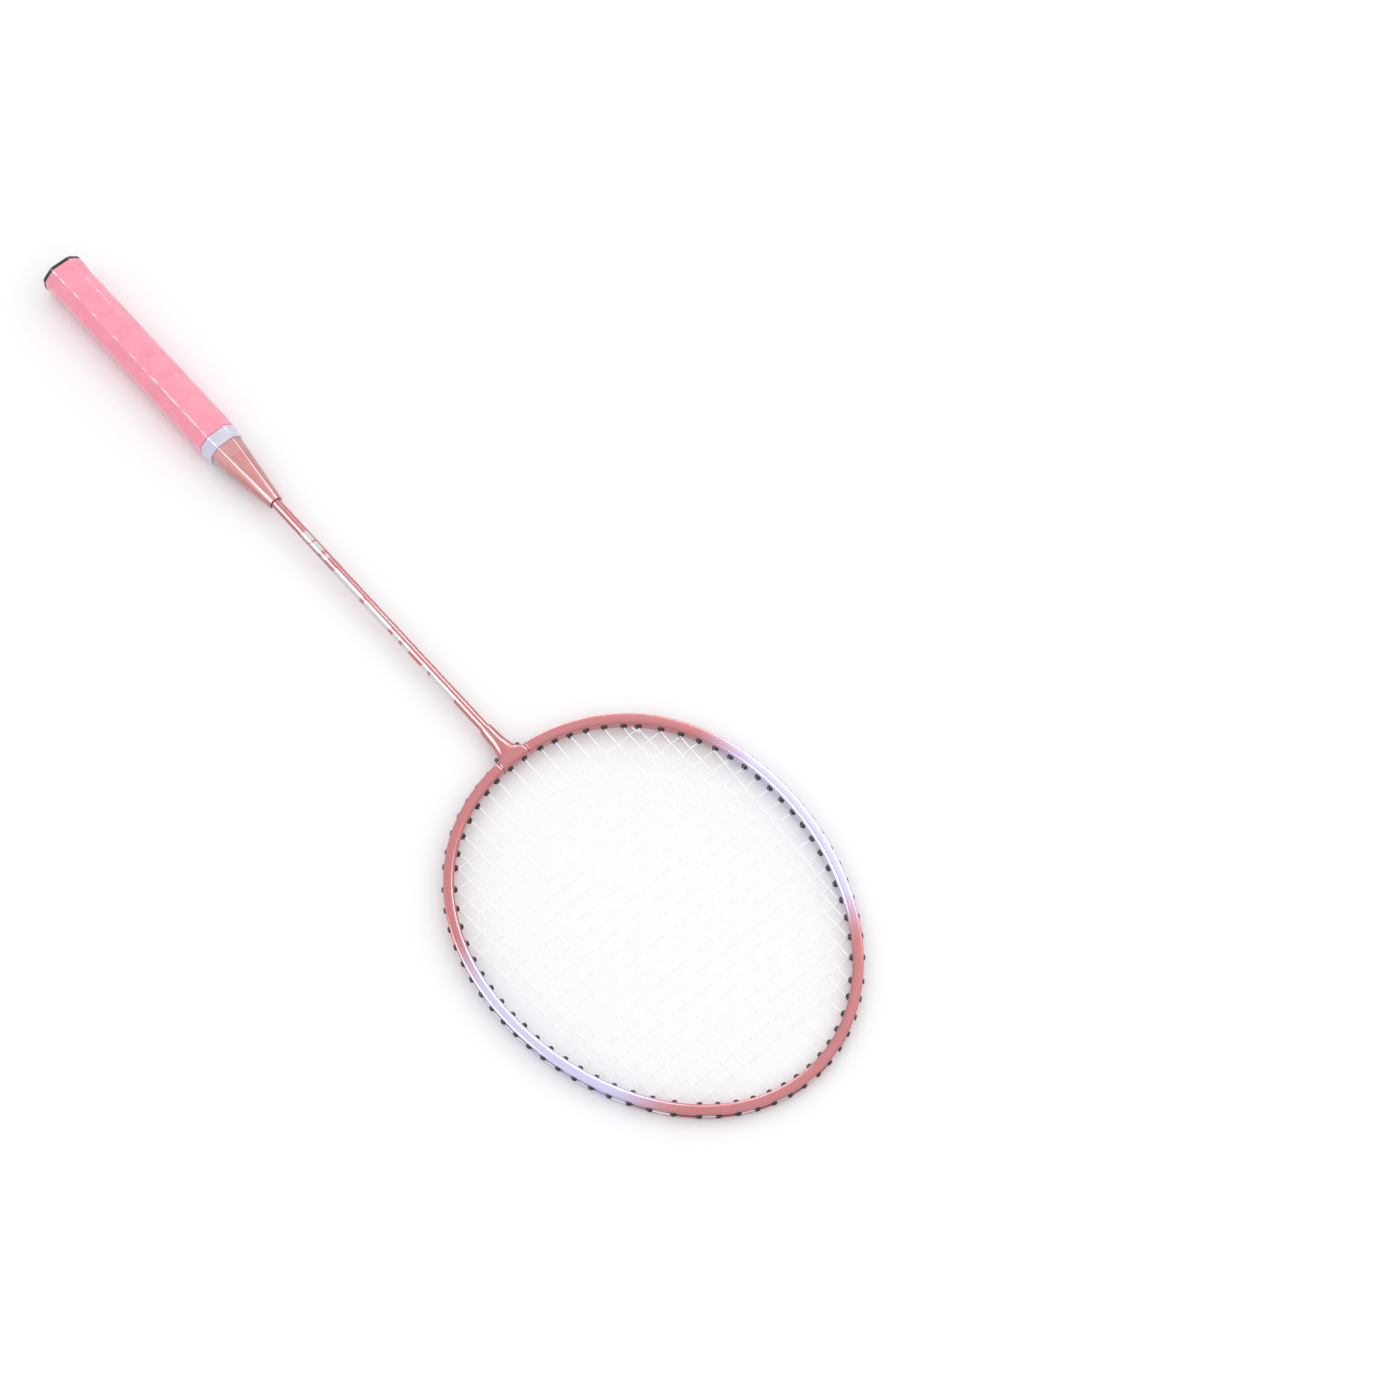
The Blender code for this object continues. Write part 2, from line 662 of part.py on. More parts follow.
def main_holes(number):
    """The throat hole and the tip hole of a main, counted from the axis."""
    if number == MAINS_PER_SIDE:
        return OUTER_MAIN_HOLES
    return number, HOLES_PER_SIDE + 1 - number


def crossing(run_start, run_end, other_start, other_end):
    """Where two runs cross in the plane, as (share of the run, place), or None if they miss."""
    a, b = run_start[:2], run_end[:2]
    c, d = other_start[:2], other_end[:2]
    share, other = np.linalg.solve(np.array([b - a, c - d]).T, c - a)
    if not (0.0 < share < 1.0 and 0.0 < other < 1.0):
        return None
    return share, a + (b - a) * share


def cross_runs(sides):
    """Each cross as its two holes, from the throat to the tip."""
    first = FIRST_CROSS_HOLE - 1
    return [(sides["left"][first + i], sides["right"][first + i]) for i in range(CROSSES)]


def main_runs(sides):
    """Each main as its throat hole and its tip hole, from the +X edge of the head to the other."""
    numbers = range(1, MAINS_PER_SIDE + 1)
    order = [("right", number) for number in reversed(numbers)]
    order += [("left", number) for number in numbers]
    runs = []
    for side_name, number in order:
        throat, tip = main_holes(number)
        runs.append((sides[side_name][throat - 1], sides[side_name][tip - 1]))
    return runs


def woven_points(column, throat, tip, crosses):
    """Points of one main, above and below the crosses in turn."""
    found = []
    for row, (left, right) in enumerate(crosses):
        meet = crossing(throat.mouth, tip.mouth, left.mouth, right.mouth)
        if meet is None:
            continue
        share, place = meet
        height = WEAVE_HEIGHT if (row + column) % 2 else -WEAVE_HEIGHT
        found.append((share, np.array([place[0], place[1], height])))
    found.sort(key=lambda item: item[0])
    return [point for _, point in found]


def build_main_string(sides, finish):
    """The first string: every main in turn, with its loops outside the hoop."""
    crosses = cross_runs(sides)
    points = []
    for column, (throat, tip) in enumerate(main_runs(sides)):
        path = exit_path(throat, STRING_LEVEL)[::-1]
        path += woven_points(column, throat, tip, crosses)
        path += exit_path(tip, STRING_LEVEL)
        points += path if column % 2 == 0 else path[::-1]
    tube_along("main_string", points, STRING_RADIUS, finish)


def build_cross_string(sides, finish):
    """The second string: every cross in turn, from the throat to the tip."""
    inset = np.array([BORE_ESCAPE, 0.0, 0.0])
    points = []
    for row, (left, right) in enumerate(cross_runs(sides)):
        path = exit_path(left, -STRING_LEVEL)[::-1]
        path += [left.mouth + inset, right.mouth - inset]
        path += exit_path(right, -STRING_LEVEL)
        points += path if row % 2 == 0 else path[::-1]
    tube_along("cross_string", points, STRING_RADIUS, finish)


def main():
    clear_scene()
    rose_metal = material(
        "rose_metallic_paint", colour=(0.72, 0.26, 0.28), roughness=0.28, metallic=0.6,
    )
    hoop_paint = material(
        "rose_hoop_paint", colour=(0.72, 0.30, 0.34), roughness=0.28, metallic=0.6,
    )
    rose_plastic = material(
        "rose_pearl_plastic", colour=(0.62, 0.30, 0.30), roughness=0.35, metallic=0.2,
    )
    pink_wrap = material(
        "pink_grip_wrap", colour=(1.0, 0.38, 0.52), roughness=0.5, metallic=0.0,
    )
    clear_film = material(
        "clear_film", colour=(0.95, 0.93, 0.96), roughness=0.08, metallic=0.0,
    )
    pale_tape = material("pale_tape", colour=(0.80, 0.78, 0.93), roughness=0.35, metallic=0.0)
    wood = material("handle_wood", colour=(0.62, 0.45, 0.28), roughness=0.7, metallic=0.0)
    black_cap = material(
        "black_cap_plastic", colour=(0.03, 0.028, 0.032), roughness=0.35, metallic=0.0,
    )
    black_nylon = material("black_nylon", colour=(0.02, 0.02, 0.022), roughness=0.4, metallic=0.0)
    white_string = material(
        "white_string", colour=(0.92, 0.92, 0.94), roughness=0.3, metallic=0.0,
    )

    turns = hole_turns()
    sides = {
        "right": [Hole(i + 1, turn, 1.0) for i, turn in enumerate(turns)],
        "left": [Hole(i + 1, turn, -1.0) for i, turn in enumerate(turns)],
    }
    all_holes = sides["right"] + sides["left"]

    build_butt_cap(black_cap)
    build_handle_core(wood)
    build_grip_wrap(pink_wrap)
    build_finishing_band(pale_tape)
    build_grip_film(clear_film)
    build_handle_cone(rose_plastic)
    build_shaft(rose_metal)
    build_t_joint(all_holes, rose_metal)
    build_head_hoop(all_holes, hoop_paint)
    build_grommets(sides, black_nylon)
    build_main_string(sides, white_string)
    build_cross_string(sides, white_string)


main()
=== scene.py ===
"""Badminton racket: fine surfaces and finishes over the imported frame.

Lengths are in metres. +Y runs from the butt cap to the tip of the head, +X goes across the
head and +Z stands on the string bed. Each surface is worked out as whole arrays: a grid of
rows and columns, or a section carried along a path.
"""
import math

import bpy
import numpy as np
from mathutils import Matrix, Vector


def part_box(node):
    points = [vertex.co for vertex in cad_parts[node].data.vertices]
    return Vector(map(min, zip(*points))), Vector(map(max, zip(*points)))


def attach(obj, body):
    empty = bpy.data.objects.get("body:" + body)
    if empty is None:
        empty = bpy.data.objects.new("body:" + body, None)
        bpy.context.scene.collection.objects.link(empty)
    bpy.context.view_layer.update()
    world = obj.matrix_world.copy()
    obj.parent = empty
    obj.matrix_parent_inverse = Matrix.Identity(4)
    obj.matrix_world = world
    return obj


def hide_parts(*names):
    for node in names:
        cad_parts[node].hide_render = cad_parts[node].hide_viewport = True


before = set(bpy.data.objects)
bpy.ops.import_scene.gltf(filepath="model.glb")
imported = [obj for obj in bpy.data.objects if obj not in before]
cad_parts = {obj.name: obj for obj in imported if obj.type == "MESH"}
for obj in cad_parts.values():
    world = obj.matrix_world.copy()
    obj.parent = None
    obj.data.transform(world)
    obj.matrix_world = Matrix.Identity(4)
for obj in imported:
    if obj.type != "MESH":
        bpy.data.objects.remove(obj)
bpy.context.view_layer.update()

MM = 0.001


# ---- camera

CAMERA_PLACE = (0.5169, 1.0372, 1.7790)
CAMERA_RIGHT, CAMERA_UP = (-0.7494, 0.6606, 0.0453), (-0.5826, -0.6903, 0.4291)


def make_camera():
    """A 90 mm lens that stands past the head and looks back down along the racket."""
    data = bpy.data.cameras.new("camera")
    data.sensor_width, data.lens = 36.0, 90.0
    data.clip_start, data.clip_end = 0.05, 60.0
    camera = bpy.data.objects.new("camera", data)
    bpy.context.collection.objects.link(camera)
    right, up = Vector(CAMERA_RIGHT), Vector(CAMERA_UP)
    turn = Matrix((right, up, right.cross(up))).transposed().to_4x4()
    camera.matrix_world = Matrix.Translation(CAMERA_PLACE) @ turn
    bpy.context.scene.camera = camera


make_camera()


# ---- sizes

def low(node, axis):
    """The node's lowest place on an axis: 0 across, 1 along, 2 up."""
    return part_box(node)[0][axis]


def high(node, axis):
    """The node's highest place on an axis."""
    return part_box(node)[1][axis]


# the outline of each part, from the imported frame
GRIP_START, GRIP_END = low("grip_wrap", 1), high("grip_wrap", 1)
BAND_START, BAND_END = low("finishing_band", 1), high("finishing_band", 1)
FILM_END = high("grip_film", 1)
CONE_START, CONE_END = low("handle_cone", 1), high("handle_cone", 1)
SHAFT_START, SHAFT_END = low("shaft", 1), high("shaft", 1)
SHAFT_RADIUS = high("shaft", 0)
HOOP_HALF_DEPTH = 3.1 * MM
NECK_START, NECK_LENGTH = low("t_joint", 1), 24.2 * MM
TIP_Y = high("head_hoop", 1) - HOOP_HALF_DEPTH
THROAT_Y = NECK_START + NECK_LENGTH
HEAD_CENTRE_Y = (THROAT_Y + TIP_Y) / 2
HEAD_HALF_LENGTH = (TIP_Y - THROAT_Y) / 2
HEAD_HALF_WIDTH = 100.9 * MM
FULLNESS, SQUARENESS = 0.07, 0.04

# the handle
CORE_WIDTH, CORE_HEIGHT, CORE_BEVEL, CORE_ROUND = 20.6 * MM, 17.2 * MM, 5.0 * MM, 1.0 * MM
FLARE_LENGTH, BUTT_FLARE = 16.0 * MM, 0.7 * MM
CAP_TOP, CAP_STAND, CAP_RIM = 2.2 * MM, 1.9 * MM, 0.75 * MM
PLUG_RADIUS, PLUG_LENGTH = 4.2 * MM, 10 * MM
WRAP_PITCH, WRAP_THICKNESS = 19.0 * MM, 1.42 * MM
LAP_RISE, CROWN_SWELL = 0.26, 0.42  # millimetres
BAND_STAND, BAND_DROP, BAND_LAP = 1.62 * MM, 0.92 * MM, 0.16 * MM
FILM_THICKNESS = 0.12 * MM
CONE_MOUTH_RADIUS, CONE_HOLLOW, CONE_WALL, LIP = 4.5 * MM, 0.06, 1.6 * MM, 0.45 * MM

# the T-joint and the head
COLLAR_RADIUS, SLEEVE_HALF_HEIGHT, SLEEVE_CURVE = 3.9 * MM, 4.15 * MM, 4.9
SEAM_X, SEAM_GAP = 9.4 * MM, 0.12 * MM
BARREL_STAND, SHOULDER = 1.6 * MM, 2.1 * MM
THROAT_BARREL, THROAT_TILT = 11.4 * MM, math.radians(14.0)
HOLES = 34  # on each side, numbered from the throat to the tip
FIRST_CROSS, LAST_CROSS, MAINS = 7, 27, 11  # the holes of the crosses, and the mains on a side
STRING_RADIUS, WEAVE = 0.35 * MM, 0.36 * MM
LOOP_LEVEL, BORE_LEVEL = 3.2 * MM, 0.42 * MM


# ---- meshes

def add_mesh(name, points, faces, finish, smooth=True, values=None):
    """A piece from a points array and a list of faces. Values are named numbers per point."""
    mesh = bpy.data.meshes.new(name)
    mesh.from_pydata(points.reshape(-1, 3).tolist(), [], faces)
    mesh.validate()
    if smooth:
        mesh.shade_smooth()
    for label, numbers in (values or {}).items():
        layer = mesh.attributes.new(label, "FLOAT", "POINT")
        layer.data.foreach_set("value", np.ascontiguousarray(numbers, np.float32).ravel())
    mesh.materials.append(finish)
    piece = bpy.data.objects.new(name, mesh)
    bpy.context.collection.objects.link(piece)
    return piece


def grid_faces(rows, columns, wrap_rows):
    """Quads of a grid whose columns run round. Wrapped rows close the last row to the first."""
    row = np.arange(rows if wrap_rows else rows - 1)[:, None]
    column = np.arange(columns)[None, :]
    after_row, after_column = (row + 1) % rows, (column + 1) % columns
    quads = np.stack([
        row * columns + column, row * columns + after_column,
        after_row * columns + after_column, after_row * columns + column,
    ], axis=-1)
    return quads.reshape(-1, 4).tolist()


def signed_volume(points, faces):
    """Six times the volume inside: the sum of a . (b x c) + a . (c x d) over faces a, b, c, d."""
    quads = np.array([face if len(face) == 4 else (*face, face[-1]) for face in faces])
    a, b, c, d = (points[quads[:, i]] for i in range(4))
    first, second = (np.einsum("ij,ij->i", a, np.cross(*pair)) for pair in ((b, c), (c, d)))
    return (first + second).sum()


def surface(name, grid, finish, ends="caps", values=None):
    """A closed piece over a grid (rows, columns, 3) whose columns run round.

    Ends are "caps", where each end row is closed with a fan to its middle, or "loop", where
    the last row is joined to the first. Faces are turned to point out.
    """
    rows, columns, _ = grid.shape
    points = grid.reshape(-1, 3)
    faces = grid_faces(rows, columns, ends == "loop")
    values = {label: np.asarray(numbers).reshape(-1) for label, numbers in (values or {}).items()}
    if ends == "caps":
        middles = np.stack([grid[0].mean(axis=0), grid[-1].mean(axis=0)])
        first, last = len(points), len(points) + 1
        ring = np.arange(columns)
        after = (ring + 1) % columns
        top = (rows - 1) * columns
        faces += np.stack([after, ring, np.full(columns, first)], axis=1).tolist()
        faces += np.stack([top + ring, top + after, np.full(columns, last)], axis=1).tolist()
        points = np.vstack([points, middles])
        values = {
            label: np.concatenate([n, [n[:columns].mean(), n[-columns:].mean()]])
            for label, n in values.items()
        }
    if signed_volume(points, faces) < 0:
        faces = [face[::-1] for face in faces]
    return add_mesh(name, points, faces, finish, values=values)


def repeated(name, grids, finish):
    """One piece from many equal closed grids (count, rows, columns, 3), each a loop of rows."""
    count, rows, columns, _ = grids.shape
    one = np.array(grid_faces(rows, columns, True))
    if signed_volume(grids[0].reshape(-1, 3), one.tolist()) < 0:
        one = one[:, ::-1]
    offsets = np.arange(count)[:, None, None] * rows * columns
    faces = (one[None] + offsets).reshape(-1, 4).tolist()
    return add_mesh(name, grids.reshape(-1, 3), faces, finish)


def circle(angle):
    """Points (cos a, sin a) of a circle of radius one."""
    return np.stack([np.cos(angle), np.sin(angle)], axis=-1)


def standing(across, y, up):
    """Points (across, y, up) from arrays that are spread to one grid."""
    return np.stack(np.broadcast_arrays(across, y, up), axis=-1)


def hand_over(piece, slot, *nodes):
    """The piece rides on the racket and hides the nodes it stands for. The slot is not used."""
    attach(piece, "root")
    if nodes:
        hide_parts(*nodes)


def smoothstep(low_edge, high_edge, values):
    """0 before the low edge, 1 past the high edge, and 3 t^2 - 2 t^3 between them."""
    t = np.clip((values - low_edge) / (high_edge - low_edge), 0.0, 1.0)
    return t * t * (3 - 2 * t)


def rounded(corners, radii, arc_points):
    """A closed section through corners (across, up), each turned into a round of its radius.

    A round starts and ends at radius * tan(half the turn) from its corner, and its points
    follow the curve (1-t)^2 A + 2 t (1-t) corner + t^2 B between those two ends.
    """
    corners, radii = np.array(corners, float), np.array(radii, float)[:, None]
    to_before = np.roll(corners, 1, axis=0) - corners
    to_after = np.roll(corners, -1, axis=0) - corners
    to_before /= np.linalg.norm(to_before, axis=1)[:, None]
    to_after /= np.linalg.norm(to_after, axis=1)[:, None]
    half = np.arccos(np.clip(np.sum(-to_before * to_after, axis=1), -1, 1))[:, None] / 2
    reach = radii * np.tan(half)
    a, b = corners + to_before * reach, corners + to_after * reach
    t = np.linspace(0, 1, arc_points)[None, :, None]
    curve = (1 - t) ** 2 * a[:, None] + 2 * t * (1 - t) * corners[:, None] + t ** 2 * b[:, None]
    return curve.reshape(-1, 2)


# ---- finishes

class Value:
    """A number socket of a shader, so that sums on it add its Math nodes."""

    def __init__(self, finish, socket):
        self.finish = finish
        self.socket = socket

    def math(self, operation, *others):
        """A Math node of this value and others."""
        return self.finish.node("ShaderNodeMath", {"operation": operation}, {
            i: value for i, value in enumerate((self, *others))
        })

    def __add__(self, other):
        return self.math("ADD", other)

    __radd__ = __add__

    def __mul__(self, other):
        return self.math("MULTIPLY", other)

    __rmul__ = __mul__

    def __sub__(self, other):
        return self.math("SUBTRACT", other)

    def __rsub__(self, other):
        return self.finish.node("ShaderNodeMath", {"operation": "SUBTRACT"}, {0: other, 1: self})

    def __truediv__(self, other):
        return self.math("DIVIDE", other)

    def __pow__(self, other):
        return self.math("POWER", other)

    def __mod__(self, other):
        return self.math("FLOORED_MODULO", other)

    def above(self, edge):
        """1 above the edge and 0 below it."""
        return self.math("GREATER_THAN", edge)

    def below(self, edge):
        """1 below the edge and 0 above it."""
        return self.math("LESS_THAN", edge)

    def step(self, low_edge, high_edge):
        """0 to 1 between two edges, smoothly."""
        return self.finish.node("ShaderNodeMapRange", {"interpolation_type": "SMOOTHSTEP"}, {
            "Value": self, "From Min": low_edge, "From Max": high_edge,
        })


class Finish:
    """A material with one Principled shader, and short ways to add the nodes before it."""

    def __init__(self, name, **constants):
        self.material = bpy.data.materials.new(name)
        self.material.use_nodes = True
        self.tree = self.material.node_tree
        self.shader = self.tree.nodes["Principled BSDF"]
        self.set(**constants)

    def node(self, kind, settings=None, inputs=None, output=0):
        """Any node: its type, its settings, and the values or links of its sockets."""
        made = self.tree.nodes.new(kind)
        for key, value in (settings or {}).items():
            setattr(made, key, value)
        for key, value in (inputs or {}).items():
            self.feed(made.inputs[key], value)
        return Value(self, made.outputs[output])

    def feed(self, socket, value):
        """Links a value to a socket, or puts a plain number, colour or vector on it."""
        if isinstance(value, Value):
            self.tree.links.new(value.socket, socket)
        else:
            socket.default_value = value

    def set(self, **values):
        """Puts values on the shader's sockets. A socket's name is written with underscores."""
        for key, value in values.items():
            whole = (*value, 1.0) if isinstance(value, tuple) else value
            self.feed(self.shader.inputs[key.replace("_", " ")], whole)

    def place(self):
        """The place on the object, in metres, as a vector."""
        return self.node("ShaderNodeTexCoord", output="Object")

    def along(self, axis):
        """One coordinate of the place on the object."""
        return self.node("ShaderNodeSeparateXYZ", inputs={0: self.place()}, output=axis)

    def attribute(self, name):
        """A number that the mesh holds for each of its points."""
        return self.node("ShaderNodeAttribute", {"attribute_name": name}, output="Fac")

    def stretched(self, x, y, z):
        """The place on the object, scaled along each axis, which draws a pattern out."""
        return self.node("ShaderNodeMapping", inputs={"Vector": self.place(), "Scale": (x, y, z)})

    def noise(self, scale, detail=2.0, roughness=0.5, vector=None):
        """Soft random tone between 0 and 1."""
        return self.node("ShaderNodeTexNoise", inputs={
            "Vector": vector or self.place(), "Scale": scale, "Detail": detail,
            "Roughness": roughness,
        })

    def blend(self, factor, first, second):
        """A colour between two colours."""
        first = first if isinstance(first, Value) else (*first, 1.0)
        second = second if isinstance(second, Value) else (*second, 1.0)
        made = self.tree.nodes.new("ShaderNodeMix")
        made.data_type = "RGBA"
        inputs = {socket.identifier: socket for socket in made.inputs}
        self.feed(inputs["Factor_Float"], factor)
        self.feed(inputs["A_Color"], first)
        self.feed(inputs["B_Color"], second)
        outputs = {socket.identifier: socket for socket in made.outputs}
        return Value(self, outputs["Result_Color"])

    def bump(self, height, strength, distance):
        """Fine relief on the surface, where the distance is its full height in metres."""
        self.set(Normal=self.node("ShaderNodeBump", inputs={
            "Height": height, "Strength": strength, "Distance": distance,
        }))


ROSE, ROSE_DEEP = (0.49, 0.155, 0.165), (0.40, 0.118, 0.126)
LAVENDER, LAVENDER_DEEP = (0.56, 0.53, 0.76), (0.48, 0.45, 0.68)
FADE_IN, FADE_OUT = (0.470, 0.512), (0.592, 0.628)  # where the hoop turns lavender, and back
PRINT_GREY = (0.58, 0.585, 0.61)
PAINT_METAL = 0.45
# the shaft's printed blocks: where each starts and ends along it, and between which angles
PRINTED_BLOCKS = (
    (0.2603, 0.2840, 0.17, 1.45), (0.2300, 0.2372, -0.50, 1.00), (0.2384, 0.2460, -0.50, 1.00),
    (0.2488, 0.2520, -0.35, 1.00), (0.2872, 0.3094, 0.17, 1.45), (0.3131, 0.3189, 0.31, 1.90),
    (0.3218, 0.3276, 0.31, 1.90), (0.3388, 0.3444, 0.31, 1.90), (0.3466, 0.3676, 0.31, 1.90),
)
PRINTED_LINE = (0.262, 0.364, -1.02, -0.74)
DASH_PITCH, GAP_PITCH = 0.0029, 0.0173


def paint_flakes(finish, colour, deep):
    """Metallic paint: fine flakes in the colour, slight orange peel in the lacquer."""
    flakes = finish.noise(5200.0, 2.0)
    clouds = finish.noise(60.0, 3.0)
    tone = (flakes - 0.5) * 0.7 + (clouds - 0.5) * 0.5 + 0.25
    finish.set(
        Base_Color=finish.blend(tone.step(0.0, 1.0), colour, deep),
        Roughness=flakes * 0.10 + 0.20,
        Metallic=PAINT_METAL,
        Coat_Weight=1.0,
        Coat_Roughness=0.03,
    )
    peel = finish.noise(900.0, 1.0)
    finish.bump(peel, 0.10, 0.00004)


def make_rose_paint():
    """Plain rose metallic paint."""
    finish = Finish("rose_metallic_paint")
    paint_flakes(finish, ROSE, ROSE_DEEP)
    return finish.material


def make_hoop_paint():
    """Rose paint that fades to lavender over both sides of the hoop, by the place along it."""
    finish = Finish("rose_hoop_paint")
    y, x = finish.along("Y"), finish.along("X")
    drift = (finish.noise(25.0, 2.0) - 0.5) * 0.010
    place = y - x * 0.05 + drift
    entering = place.step(*FADE_IN)
    leaving = place.step(*FADE_OUT)
    lavender = entering * (1 - leaving)
    colour = finish.blend(lavender, ROSE, LAVENDER)
    deep = finish.blend(lavender, ROSE_DEEP, LAVENDER_DEEP)
    paint_flakes(finish, colour, deep)
    return finish.material


def make_shaft_paint():
    """Rose paint with plain printed blocks and dashes, which hold no lettering."""
    finish = Finish("rose_shaft_paint")
    paint_flakes(finish, ROSE, ROSE_DEEP)
    x, y, z = (finish.along(axis) for axis in "XYZ")
    # round is the angle from straight up towards +X, and the ends of each block slant with it
    round_angle = x.math("ARCTAN2", z)
    slant = y + round_angle * 0.0007

    def block(start, end, first, last):
        """1 inside a block and 0 outside it."""
        along = slant.above(start) * slant.below(end)
        return along * round_angle.above(first) * round_angle.below(last)

    printed = block(*PRINTED_BLOCKS[0])
    for edges in PRINTED_BLOCKS[1:]:
        printed = printed + block(*edges)
    start, end, first, last = PRINTED_LINE
    dash = ((y / DASH_PITCH) % 1.0).above(0.40) * (((y + 0.004) / GAP_PITCH) % 1.0).above(0.18)
    thin = dash * round_angle.above(first) * round_angle.below(last)
    thin = thin * y.above(start) * y.below(end)
    print_mask = (printed + thin).math("MINIMUM", 1.0).math("MAXIMUM", 0.0)
    worn = finish.noise(2600.0, 2.0).step(0.28, 0.40)
    printed = print_mask * (worn * 0.25 + 0.75)
    base = finish.shader.inputs["Base Color"].links[0].from_socket
    finish.set(
        Base_Color=finish.blend(printed, Value(finish, base), PRINT_GREY),
        Metallic=(1 - printed) * PAINT_METAL,
    )
    return finish.material


def make_pearl_plastic():
    """Moulded pearl plastic: drawn-out shimmer along the flow of the moulding."""
    finish = Finish("rose_pearl_plastic")
    flow = finish.noise(1.0, 4.0, 0.6, finish.stretched(900.0, 110.0, 900.0))
    specks = finish.noise(4200.0, 2.0)
    tone = flow * 0.55 + specks * 0.45
    finish.set(
        Base_Color=finish.blend(tone.step(0.3, 0.7), (0.44, 0.165, 0.165), (0.56, 0.24, 0.235)),
        Roughness=specks * 0.12 + 0.26,
        Metallic=0.45,
        Coat_Weight=0.8,
        Coat_Roughness=0.06,
    )
    finish.bump(flow, 0.12, 0.00005)
    return finish.material


def make_wrap():
    """Soft synthetic leather tape: fine grain, and painted shade in each crease between turns."""
    finish = Finish("pink_grip_wrap")
    crease = finish.attribute("crease")
    grain = finish.node("ShaderNodeTexVoronoi", inputs={
        "Vector": finish.place(), "Scale": 1300.0, "Randomness": 0.9,
    })
    clouds = finish.noise(90.0, 3.0)
    tone = clouds.step(0.3, 0.75)
    colour = finish.blend(tone, (0.86, 0.195, 0.305), (0.94, 0.235, 0.355))
    # painted shade: the tape is darkened in the crease just before each lapping edge
    colour = finish.blend(crease * 0.12, colour, (0.52, 0.10, 0.17))
    finish.set(
        Base_Color=colour,
        Roughness=clouds * 0.15 + 0.42,
        Coat_Weight=0.9,
        Coat_Roughness=0.05,
    )
    pores = grain * 0.6 + finish.noise(700.0, 2.0) * 0.4
    finish.bump(pores, 0.35, 0.00006)
    return finish.material


def make_film():
    """Clear shrink film: almost unseen square on, paler and glossier at a slant, with haze."""
    finish = Finish("clear_film")
    slant = finish.node("ShaderNodeLayerWeight", inputs={"Blend": 0.35}, output="Facing")
    haze = finish.noise(1.0, 3.0, 0.6, finish.stretched(420.0, 70.0, 420.0)).step(0.52, 0.80)
    finish.set(
        Base_Color=(0.95, 0.92, 0.96),
        Roughness=haze * 0.08 + 0.05,
        Alpha=slant ** 5.0 * 0.70 + haze * 0.05 + finish.attribute("edge") * 0.12 + 0.04,
        IOR=1.5,
        Specular_IOR_Level=1.0,
        Coat_Weight=1.0,
        Coat_Roughness=0.03,
    )
    wrinkles = finish.noise(1.0, 2.0, 0.5, finish.stretched(260.0, 90.0, 260.0))
    finish.bump(wrinkles, 0.22, 0.0003)
    return finish.material


def make_tape():
    """Pale adhesive tape with a faint weave, and painted shade along its lap line and rims."""
    finish = Finish("pale_tape")
    weave = finish.node("ShaderNodeTexWave", {"bands_direction": "Y"}, {
        "Vector": finish.place(), "Scale": 420.0, "Distortion": 1.2, "Detail": 1.0,
        "Detail Scale": 2.0,
    })
    clouds = finish.noise(150.0, 2.0)
    lap = finish.attribute("lap")
    colour = finish.blend(clouds.step(0.3, 0.7), (0.55, 0.55, 0.70), (0.62, 0.62, 0.76))
    finish.set(
        # painted shade: the lap attribute darkens the tape along the lap line and at the rims
        Base_Color=finish.blend(lap * 0.8, colour, (0.45, 0.44, 0.62)),
        Roughness=clouds * 0.1 + 0.30,
        Coat_Weight=1.0,
        Coat_Roughness=0.05,
    )
    finish.bump(weave, 0.10, 0.00004)
    return finish.material


BLACK, BLACK_STREAK = (0.006, 0.005, 0.007), (0.016, 0.014, 0.017)


def make_black(name, roughness, scale):
    """Moulded black plastic: faint grey streaks where it flowed, fine moulded grain."""
    finish = Finish(name)
    clouds = finish.noise(scale, 3.0)
    finish.set(
        Base_Color=finish.blend(clouds.step(0.35, 0.8), BLACK, BLACK_STREAK),
        Roughness=clouds * 0.15 + roughness,
        Specular_IOR_Level=0.6,
    )
    finish.bump(finish.noise(scale * 14, 2.0), 0.18, 0.00003)
    return finish.material


def make_string():
    """White synthetic string: faintly twisted outer fibres under a clear coat."""
    finish = Finish("white_string")
    fibres = finish.noise(1.0, 2.0, 0.6, finish.stretched(2600.0, 1200.0, 2600.0))
    finish.set(
        Base_Color=finish.blend(fibres.step(0.3, 0.7), (0.84, 0.84, 0.86), (0.93, 0.93, 0.94)),
        Roughness=fibres * 0.15 + 0.28,
        Coat_Weight=0.4,
        Coat_Roughness=0.15,
    )
    finish.bump(fibres, 0.2, 0.00003)
    return finish.material


def make_wood():
    """Light bare wood with straight grain along the handle."""
    finish = Finish("handle_wood")
    grain = finish.noise(1.0, 5.0, 0.65, finish.stretched(900.0, 45.0, 900.0))
    finish.set(
        Base_Color=finish.blend(grain.step(0.3, 0.7), (0.46, 0.31, 0.17), (0.66, 0.50, 0.32)),
        Roughness=grain * 0.2 + 0.55,
    )
    finish.bump(grain, 0.3, 0.0001)
    return finish.material


# ---- handle

FLAT_POINTS, CORNER_POINTS = 12, 9


